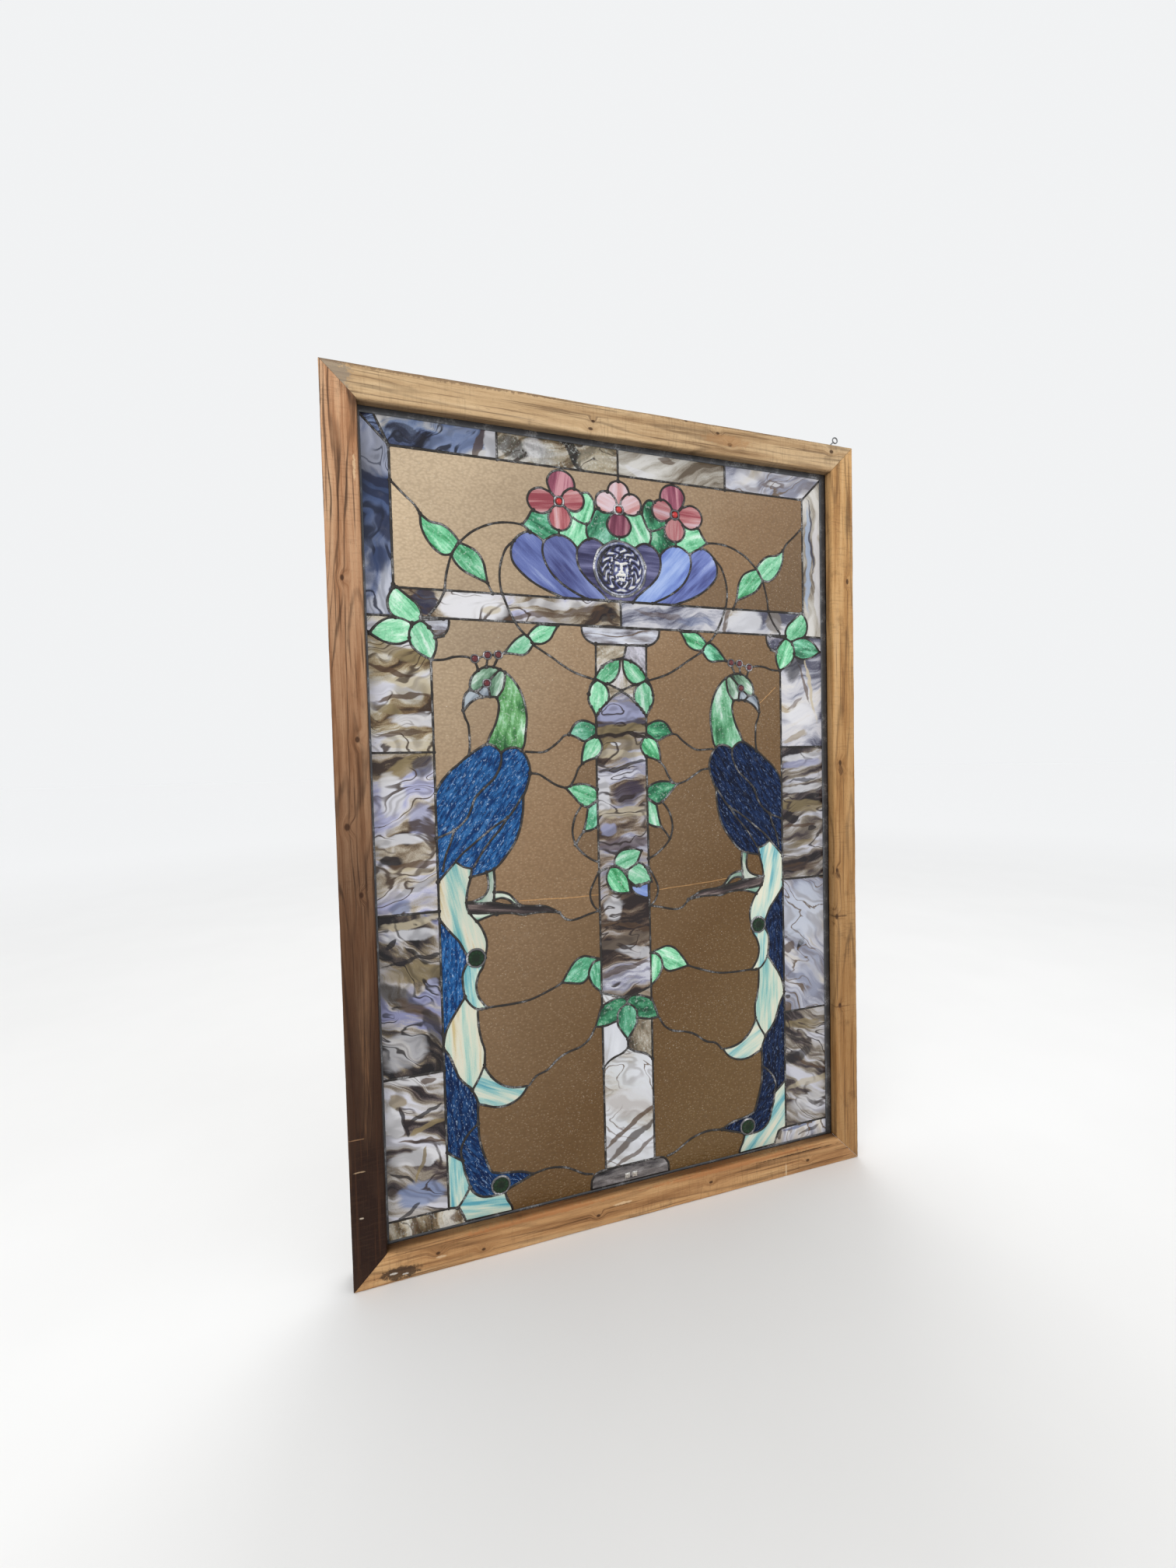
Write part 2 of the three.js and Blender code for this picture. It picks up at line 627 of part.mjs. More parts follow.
function lionRondel() {
  const edge = rondelRadius - seamWidth / 2 - fit;
  const profile = [
    [0, -backFace],
    [edge, -backFace],
    [edge, backFace + 0.8],
    [edge - 4, backFace + 1.2],
    [edge - 6, backFace],
    [27, backFace + 1.2],
    [21, backFace + 2.8],
    [14, backFace + 2.4],
    [8, backFace + 3.4],
    [0, backFace + 3.4],
  ];
  const geometry = new THREE.LatheGeometry(
    profile.map(([radius, height]) => new THREE.Vector2(radius, height)),
    rondelSides,
  );
  const place = geometry.attributes.position;
  for (let i = 0; i < place.count; i += 1) {
    const radius = Math.hypot(place.getX(i), place.getZ(i));
    if (place.getY(i) > backFace && radius < 28) {
      const turn = Math.atan2(place.getX(i), -place.getZ(i));
      place.setY(i, place.getY(i) + lionHeight(radius, turn));
    }
  }
  geometry.rotateX(Math.PI);
  const [[x, z]] = placed([rondelCentre], 1);
  geometry.translate(x, 0, z);
  return solidOf(geometry);
}

// A pressed roundel: a low dome with a dimple in the middle.
function pressedRoundel(centre, side) {
  const edge = roundelRadius - seamWidth / 2 - fit;
  const profile = [
    [0, -backFace],
    [edge, -backFace],
    [edge, backFace],
    [edge * 0.75, backFace + 1.6],
    [edge * 0.4, backFace + 1.2],
    [0, backFace + 0.6],
  ];
  return solidOf(round(profile, centre, side, roundelSides));
}

// The panes that are the ground of the picture: one point inside each, as [distance, height].
const groundPanes = [
  { name: "amber_upper", finish: "amber", at: [230, 1080] },
  { name: "border_upper", finish: "opal", at: [342, 1020] },
  { name: "band", finish: "opal", at: [150, 909] },
  { name: "border_side_1", finish: "opal", at: [320, 780] },
  { name: "border_side_2", finish: "opal", at: [320, 600] },
  { name: "border_side_3", finish: "opal", at: [320, 380] },
  { name: "border_side_4", finish: "opal", at: [320, 170] },
  { name: "border_top_outer", finish: "navy", at: [250, 1130] },
  { name: "border_top_inner", finish: "navy", at: [90, 1130] },
  { name: "amber_ground", finish: "amber", at: [120, 700] },
  { name: "amber_crown", finish: "amber", at: [45, 1100] },
];
const middlePanes = [
  { name: "column_neck", finish: "opal", at: [10, 854] },
  { name: "column_shaft", finish: "opal", at: [0, 650] },
  { name: "column_foot", finish: "opal", at: [0, 150] },
];

function addPanes() {
  const stock = glassStock();
  const gap = seamWidth / 2 + fit;
  let ground = stock;
  for (const line of partingLines) ground = ground.subtract(band(line, seamWidth + 2 * fit, through));
  for (const entry of figures) ground = ground.subtract(grownFigure(entry, gap, through));
  const cells = ground.decompose();
  const wanted = [
    ...middlePanes.map((pane) => ({ ...pane, side: 1 })),
    ...groundPanes.flatMap((pane) =>
      bothSides.map((side) => ({ ...pane, side, name: `${pane.name}_${sideNames[side]}` })),
    ),
  ];
  for (const pane of wanted) {
    const probe = figure(placed(circle(pane.at, 1, 4), pane.side), 0, 1);
    const cell = cells.find((each) => !each.intersect(probe).isEmpty());
    addNode(pane.name, cell, pane.finish);
  }
  figures.forEach((entry, i) => {
    if (!entry.finish) return;
    let pane = stock.intersect(grownFigure(entry, -gap, through));
    for (const later of figures.slice(i + 1)) pane = pane.subtract(grownFigure(later, gap, through));
    addNode(entry.name, largest(pane), entry.finish);
  });
  addNode("lion_rondel", lionRondel(), "rondel");
  for (const side of bothSides) {
    roundelCentres.forEach((centre, i) => {
      addNode(`roundel_${sideNames[side]}_${i + 1}`, pressedRoundel(centre, side), "darkGreen");
    });
  }
}

// The came: a lead channel all round the panel, which the glass slides into.
function came() {
  const right = panelLeft + panelWidth;
  const top = panelBottom + panelHeight;
  const outside = rectangle(panelLeft, right, panelBottom, top);
  const ring = plate(outside, -cameHalf, cameHalf, [rectangle(sightLeft, sightRight, sightBottom, sightTop)]);
  const heart = cameFace - channelDepth;
  const channel = rectangle(panelLeft + heart, right - heart, panelBottom + heart, top - heart);
  return ring.subtract(plate(channel, -backFace - fit, backFace + fit));
}

// One mitred board, drawn as the bottom rail and turned into place: a front lip over a rebate.
function board(length) {
  const reach = length / 2 - mitreGap;
  const outline = (face) => [
    [-reach, 0],
    [reach, 0],
    [reach - face, face],
    [-reach + face, face],
  ];
  const lip = plate(outline(boardFace), frontY, lipBackY);
  const back = plate(outline(boardFace - rebateWidth), lipBackY, backY);
  return lip.add(back);
}

// A strip of wood behind the came, from one inner corner of the rebate to the other.
function strip(length) {
  const nearY = cameHalf + fit;
  return plate(rectangle(-length / 2, length / 2, 0, stripWidth), nearY, nearY + stripDepth);
}

// The screw eye stands on its own shank, which goes down into a hole in the top rail.
function eyeShank(radius) {
  const shank = new THREE.CylinderGeometry(radius, radius, eyeBuried + eyeStem, 6);
  shank.translate(0, (eyeStem - eyeBuried) / 2, 0);
  return solidOf(shank);
}

function screwEye() {
  const ringRadius = (eyeRing - eyeWire) / 2;
  const ring = new THREE.TorusGeometry(ringRadius, eyeWire / 2, 6, 16);
  ring.translate(0, eyeStem + ringRadius, 0);
  return eyeShank(eyeWire / 2).add(solidOf(ring));
}

function addFrame() {
  const width = windowWidth;
  const height = windowHeight;
  const turned = (solid, degrees, x, z) => solid.rotate(0, degrees, 0).translate(x, 0, z);
  const eyePlace = (solid) => solid.rotate(90, 0, 0).rotate(0, eyeLean, 0).translate(...eyeFoot);
  const hole = eyePlace(eyeShank(eyeWire / 2 + fit));
  addNode("frame_bottom_rail", board(width), "boardGold");
  addNode("frame_top_rail", turned(board(width), 180, 0, height).subtract(hole), "boardTan");
  addNode("frame_left_stile", turned(board(height), 90, -width / 2, height / 2), "boardDark");
  addNode("frame_right_stile", turned(board(height), -90, width / 2, height / 2), "boardGold");
  const rebate = boardFace - rebateWidth + fit;
  const across = width - 2 * rebate;
  const upright = height - 2 * (rebate + stripWidth + fit);
  addNode("stop_bottom", strip(across).translate(0, 0, rebate), "strip");
  addNode("stop_top", turned(strip(across), 180, 0, height - rebate), "strip");
  addNode("stop_left", turned(strip(upright), 90, rebate - width / 2, height / 2), "strip");
  addNode("stop_right", turned(strip(upright), -90, width / 2 - rebate, height / 2), "strip");
  addNode("screw_eye", eyePlace(screwEye()), "steel");
}

addFrame();
addNode("border_came", came(), "came");
addNode("solder_net", solderNet(), "solder");
addPanes();

export default leadedWindow;
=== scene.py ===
import math
import random

import bpy
import numpy as np
from mathutils import Matrix, Vector, geometry, noise


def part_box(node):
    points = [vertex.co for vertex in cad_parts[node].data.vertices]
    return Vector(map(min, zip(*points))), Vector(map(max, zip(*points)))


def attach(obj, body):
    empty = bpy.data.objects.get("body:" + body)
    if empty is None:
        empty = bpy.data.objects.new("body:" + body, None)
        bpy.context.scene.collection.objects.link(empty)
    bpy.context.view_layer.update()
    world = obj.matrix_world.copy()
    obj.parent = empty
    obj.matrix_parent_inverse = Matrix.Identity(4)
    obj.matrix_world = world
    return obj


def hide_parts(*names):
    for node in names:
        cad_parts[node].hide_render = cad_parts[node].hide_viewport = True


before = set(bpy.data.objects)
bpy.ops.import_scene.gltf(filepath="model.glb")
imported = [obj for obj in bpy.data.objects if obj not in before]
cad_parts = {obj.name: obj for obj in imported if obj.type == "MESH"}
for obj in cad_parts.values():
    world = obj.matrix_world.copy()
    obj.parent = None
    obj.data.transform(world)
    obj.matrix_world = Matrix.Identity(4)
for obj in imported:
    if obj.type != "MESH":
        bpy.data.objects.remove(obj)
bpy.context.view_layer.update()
chance = random.Random(11)
mm = 0.001
print("frame loaded")

# The camera: its lens, where it stands and which way it looks
viewpoint = {
    "lens": 12.46,
    "place": (-0.2852, -0.7713, 0.6830),
    "right": (0.95973, -0.27990, -0.02385),
    "up": (0.03169, 0.02354, 0.99922),
    "ahead": (0.27912, 0.95974, -0.03146),
}
lensData = bpy.data.cameras.new("viewCamera")
lensData.lens = viewpoint["lens"]
lensData.sensor_width = 36
viewCamera = bpy.data.objects.new("viewCamera", lensData)
bpy.context.scene.collection.objects.link(viewCamera)
turnOf = Matrix((viewpoint["right"], viewpoint["up"], [-a for a in viewpoint["ahead"]])).transposed()
viewCamera.matrix_world = Matrix.Translation(viewpoint["place"]) @ turnOf.to_4x4()
bpy.context.scene.camera = viewCamera

# The studio: floor, air and three soft lights; the floor pales from farFrom to farTo metres away
studio = {
    "floorHalf": 60,
    "farFrom": 1.4,
    "farTo": 6.0,
    "floorColour": (0.90, 0.895, 0.885, 1),
    "worldColour": (0.98, 0.99, 1.0, 1),
    "worldStrength": 0.90,
    "keyPower": 26,
    "fillPower": 6,
    "backPower": 12,
}


def rgb(red, green, blue):
    # a colour as it looks, 0 to 255, turned into the linear one that shaders take
    def linear(value):
        value = value / 255
        return value / 12.92 if value <= 0.04045 else ((value + 0.055) / 1.055) ** 2.4
    return (linear(red), linear(green), linear(blue), 1)


class Value:
    # one output socket: sums and products of it add their Math nodes
    def __init__(self, tree, socket):
        self.tree = tree
        self.socket = socket

    def work(self, operation, *others, clamp=False):
        made = self.tree.nodes.new("ShaderNodeMath")
        made.operation = operation
        made.use_clamp = clamp
        for slot, value in enumerate(others):
            if isinstance(value, Value):
                self.tree.links.new(value.socket, made.inputs[slot])
            else:
                made.inputs[slot].default_value = value
        return Value(self.tree, made.outputs[0])

    def __add__(self, other): return self.work("ADD", self, other)
    def __radd__(self, other): return self.work("ADD", other, self)
    def __sub__(self, other): return self.work("SUBTRACT", self, other)
    def __rsub__(self, other): return self.work("SUBTRACT", other, self)
    def __mul__(self, other): return self.work("MULTIPLY", self, other)
    def __truediv__(self, other): return self.work("DIVIDE", self, other)
    def __pow__(self, other): return self.work("POWER", self, other)
    def __abs__(self): return self.work("ABSOLUTE", self)

    def kept(self): return self.work("ADD", self, 0, clamp=True)
    def most(self, other): return self.work("MAXIMUM", self, other)


class Finish:
    # one material and the ways of adding nodes to it
    def __init__(self, name):
        self.material = bpy.data.materials.new(name)
        self.material.use_nodes = True
        self.tree = self.material.node_tree
        self.tree.nodes.clear()

    def node(self, kind, settings=None, values=None, out=0):
        made = self.tree.nodes.new("ShaderNode" + kind)
        for key, value in (settings or {}).items():
            if key == "stops":
                ramp = made.color_ramp
                while len(ramp.elements) < len(value):
                    ramp.elements.new(0.5)
                for element, (place, colour) in zip(ramp.elements, value):
                    element.position = place
                    element.color = colour
            else:
                setattr(made, key, value)
        for key, value in (values or {}).items():
            if isinstance(value, Value):
                self.tree.links.new(value.socket, made.inputs[key])
            else:
                made.inputs[key].default_value = value
        return Value(self.tree, made.outputs[out])

    def mix(self, factor, first, second, way="MIX"):
        return self.node("Mix", {"data_type": "RGBA", "blend_type": way, "clamp_factor": True},
                         {0: factor, 6: first, 7: second}, out=2)

    def grain(self, where, scale, detail=3, rough=0.55, twist=0.0):
        return self.node("TexNoise", {}, {"Vector": where, "Scale": scale, "Detail": detail,
                                          "Roughness": rough, "Distortion": twist})

    def place(self):
        return self.node("TexCoord", out=3)

    def attribute(self, name, out=2):
        # what marked() left on the piece: out 2 is a number, out 1 a vector
        return self.node("Attribute", {"attribute_name": name}, out=out)

    def parts(self, vector):
        made = self.tree.nodes.new("ShaderNodeSeparateXYZ")
        self.tree.links.new(vector.socket, made.inputs[0])
        return [Value(self.tree, each) for each in made.outputs]

    def join(self, x, y, z):
        return self.node("CombineXYZ", {}, {0: x, 1: y, 2: z})

    def stretch(self, vector, scale):
        return self.node("VectorMath", {"operation": "MULTIPLY"}, {0: vector, 1: scale})

    def shift(self, vector, by):
        return self.node("VectorMath", {"operation": "ADD"}, {0: vector, 1: by})

    def ramp(self, factor, stops):
        return self.node("ValToRGB", {"stops": stops}, {0: factor})

    def folded(self, value):
        # up from 0 to 1 and down again, over and over
        return self.node("Math", {"operation": "PINGPONG"}, {0: value, 1: 1.0})

    def step(self, value, low, high):
        # 0 below low, 1 above high, smooth between
        return self.node("MapRange", {"interpolation_type": "SMOOTHSTEP"},
                         {0: value, 1: low, 2: high, 3: 0.0, 4: 1.0})

    def warped(self, where, scale, amount):
        wobble = self.node("TexNoise", {}, {"Vector": where, "Scale": scale, "Detail": 2.0}, out=1)
        centred = self.shift(wobble, (-0.5, -0.5, -0.5))
        return self.shift(where, self.stretch(centred, (amount, amount, amount)))

    def surface(self, plain, linked=None, height=None, heightScale=1.0, distance=0.001):
        shader = self.tree.nodes.new("ShaderNodeBsdfPrincipled")
        for key, value in plain.items():
            shader.inputs[key].default_value = value
        for key, value in (linked or {}).items():
            self.tree.links.new(value.socket, shader.inputs[key])
        if height is not None:
            bump = self.node("Bump", {}, {"Strength": heightScale, "Distance": distance, "Height": height})
            self.tree.links.new(bump.socket, shader.inputs["Normal"])
        end = self.tree.nodes.new("ShaderNodeOutputMaterial")
        self.tree.links.new(shader.outputs[0], end.inputs[0])
        return self.material


def tones(*stops):
    # stops of a ramp from (place, red, green, blue)
    return [(place, rgb(*colour)) for place, *colour in stops]


def glassKind(surface, along, across, *stops, **extra):
    return {"surface": surface, "along": along, "across": across, "tones": tones(*stops), **extra}


# Glass finishes: the surface, then the pattern's scales per metre along the pane's flow and over it,
# then its tones from its low end to its high end. A warp bends the flow; veins have a colour, a scale
# and a width.
glassKinds = {
    # amber's tones run from painted light at the lit upper corner to painted shade at the foot, over the
    # glass's own tone
    "amber": glassKind("hammered", 9, 14, (0.09, 206, 184, 154), (0.27, 172, 151, 125),
        (0.5, 139, 113, 86), (0.68, 122, 97, 70), (0.84, 106, 80, 51), (1.0, 112, 87, 56)),
    "mint": glassKind("granite", 22, 120, (0.18, 76, 160, 112), (0.42, 126, 202, 158),
        (0.62, 152, 218, 178), (0.84, 206, 238, 218)),
    "leaf": glassKind("granite", 22, 120, (0.18, 44, 132, 78), (0.45, 98, 184, 134), (0.66, 140, 214, 170),
        (0.86, 194, 236, 208)),
    "teal": glassKind("granite", 24, 90, (0.18, 26, 100, 68), (0.48, 82, 164, 124), (0.76, 146, 212, 184)),
    "emerald": glassKind("granite", 40, 80, (0.22, 14, 72, 46), (0.46, 44, 122, 84), (0.7, 80, 162, 118),
        (0.88, 150, 208, 172)),
    "neck": glassKind("granite", 18, 44, (0.2, 24, 66, 36), (0.42, 62, 120, 66), (0.6, 104, 162, 104),
        (0.74, 150, 200, 160), (0.86, 206, 226, 212)),
    "neckPale": glassKind("granite", 18, 44, (0.2, 40, 104, 64), (0.42, 92, 164, 116),
        (0.6, 140, 202, 162), (0.8, 206, 232, 216)),
    "crown": glassKind("wavy", 26, 70, (0.2, 34, 54, 44), (0.45, 94, 128, 104), (0.68, 142, 176, 152),
        (0.85, 196, 210, 202)),
    "aqua": glassKind("wavy", 9, 80, (0.16, 86, 158, 174), (0.38, 144, 192, 190), (0.58, 194, 212, 198),
        (0.8, 222, 220, 200)),
    "cream": glassKind("wavy", 6, 60, (0.12, 100, 168, 174), (0.32, 156, 198, 188), (0.48, 202, 214, 196),
        (0.66, 222, 218, 198), (0.88, 202, 184, 138)),
    "blue": glassKind("ripple", 60, 240, (0.28, 10, 48, 98), (0.5, 22, 76, 132), (0.7, 50, 106, 164)),
    "deep": glassKind("ripple", 60, 240, (0.28, 6, 30, 70), (0.5, 14, 48, 94), (0.7, 36, 76, 126)),
    "navy": glassKind("ripple", 60, 240, (0.28, 5, 14, 38), (0.5, 10, 28, 60), (0.7, 26, 48, 88)),
    "periwinkle": glassKind("wavy", 10, 60, (0.2, 72, 80, 136), (0.45, 102, 116, 176),
        (0.62, 116, 130, 188), (0.85, 156, 170, 214)),
    "dusk": glassKind("wavy", 10, 60, (0.2, 58, 62, 112), (0.48, 88, 98, 150), (0.8, 122, 134, 184)),
    "skyBlue": glassKind("wavy", 10, 50, (0.2, 90, 108, 178), (0.48, 124, 148, 208), (0.8, 160, 180, 224)),
    "slate": glassKind("wavy", 10, 70, (0.2, 46, 44, 78), (0.5, 78, 78, 116), (0.8, 120, 120, 158)),
    "rose": glassKind("wavy", 8, 90, (0.2, 108, 48, 70), (0.5, 146, 80, 100), (0.8, 192, 138, 148)),
    "salmon": glassKind("wavy", 8, 90, (0.18, 146, 66, 76), (0.38, 176, 108, 112), (0.6, 194, 144, 144),
        (0.8, 206, 176, 184)),
    "blush": glassKind("wavy", 8, 80, (0.2, 178, 116, 116), (0.42, 196, 158, 158), (0.7, 206, 186, 194)),
    "twig": glassKind("wavy", 14, 110, (0.22, 34, 28, 30), (0.5, 72, 60, 60), (0.78, 126, 112, 108)),
    "claw": glassKind("wavy", 20, 70, (0.22, 120, 160, 142), (0.52, 168, 190, 172), (0.8, 206, 212, 200)),
    "beak": glassKind("wavy", 20, 60, (0.25, 118, 128, 140), (0.6, 172, 182, 190)),
    "capital": glassKind("wavy", 12, 40, (0.2, 88, 84, 90), (0.38, 150, 150, 160), (0.55, 188, 192, 204),
        (0.8, 210, 212, 220), veins=(rgb(90, 72, 56), 9, 0.05)),
    "dusty": glassKind("granite", 12, 36, (0.2, 66, 52, 42), (0.4, 130, 116, 96), (0.58, 176, 166, 150),
        (0.8, 210, 206, 210)),
    "plum": glassKind("granite", 16, 40, (0.2, 34, 30, 46), (0.45, 92, 90, 112), (0.62, 146, 142, 150),
        (0.85, 190, 188, 200)),
    "ink": glassKind("wavy", 14, 40, (0.22, 18, 17, 20), (0.42, 66, 63, 66), (0.62, 116, 112, 112),
        (0.82, 164, 160, 162)),
    "white": glassKind("wavy", 8, 30, (0.2, 176, 172, 170), (0.45, 206, 208, 214), (0.8, 220, 222, 228)),
    "shaft": glassKind("wavy", 7, 34, (0.16, 40, 30, 30), (0.3, 92, 74, 62), (0.44, 146, 130, 112),
        (0.58, 178, 172, 172), (0.72, 150, 150, 172), (0.86, 206, 206, 216), warp=0.05,
        veins=(rgb(44, 32, 30), 12, 0.05)),
    "marble": glassKind("wavy", 7, 24, (0.12, 150, 136, 118), (0.28, 194, 190, 184), (0.45, 208, 210, 212),
        (0.8, 218, 220, 226), warp=0.05, veins=(rgb(98, 78, 60), 9, 0.03)),
    "curls": glassKind("wavy", 9, 22, (0.16, 58, 42, 30), (0.3, 116, 94, 66), (0.44, 162, 146, 116),
        (0.58, 202, 196, 182), (0.8, 206, 206, 216), warp=0.08, veins=(rgb(60, 44, 32), 11, 0.045)),
    "mist": glassKind("wavy", 7, 26, (0.16, 56, 44, 38), (0.3, 124, 108, 88), (0.44, 178, 168, 152),
        (0.6, 202, 200, 208), (0.82, 166, 168, 200), warp=0.07, veins=(rgb(64, 48, 38), 10, 0.05)),
    "storm": glassKind("wavy", 8, 28, (0.16, 20, 16, 22), (0.32, 74, 64, 60), (0.46, 134, 120, 98),
        (0.6, 186, 180, 176), (0.8, 140, 142, 176), warp=0.09, veins=(rgb(24, 18, 20), 11, 0.07)),
    "cloud": glassKind("wavy", 10, 34, (0.18, 74, 74, 92), (0.34, 136, 138, 152), (0.52, 186, 186, 194),
        (0.75, 206, 204, 204), (0.9, 170, 156, 134), warp=0.06),
    "nightCloud": glassKind("wavy", 14, 34, (0.22, 22, 26, 46), (0.38, 74, 86, 118), (0.52, 124, 142, 176),
        (0.68, 164, 170, 182), (0.84, 206, 204, 202), warp=0.07, veins=(rgb(18, 20, 34), 10, 0.05)),
    "ash": glassKind("wavy", 8, 44, (0.2, 96, 84, 70), (0.38, 146, 138, 126), (0.56, 178, 174, 166),
        (0.8, 206, 204, 200), warp=0.05),
    "lilac": glassKind("wavy", 6, 30, (0.2, 20, 26, 52), (0.36, 60, 74, 110), (0.52, 112, 124, 156),
        (0.68, 156, 164, 188), (0.85, 200, 204, 216), warp=0.07, veins=(rgb(24, 32, 56), 11, 0.06)),
    "fold": glassKind("wavy", 7, 44, (0.16, 30, 24, 28), (0.32, 84, 74, 74), (0.48, 136, 126, 112),
        (0.64, 180, 176, 174), (0.84, 200, 200, 210), warp=0.05, veins=(rgb(50, 38, 36), 11, 0.05)),
    "sand": glassKind("granite", 6, 44, (0.16, 56, 42, 34), (0.36, 126, 108, 84), (0.54, 176, 164, 142),
        (0.74, 202, 198, 190), warp=0.05, veins=(rgb(48, 36, 30), 9, 0.04)),
    "pearl": glassKind("wavy", 7, 36, (0.2, 136, 138, 154), (0.42, 188, 190, 202), (0.62, 214, 214, 220),
        (0.85, 220, 214, 204), warp=0.06, veins=(rgb(104, 84, 62), 8, 0.03)),
}

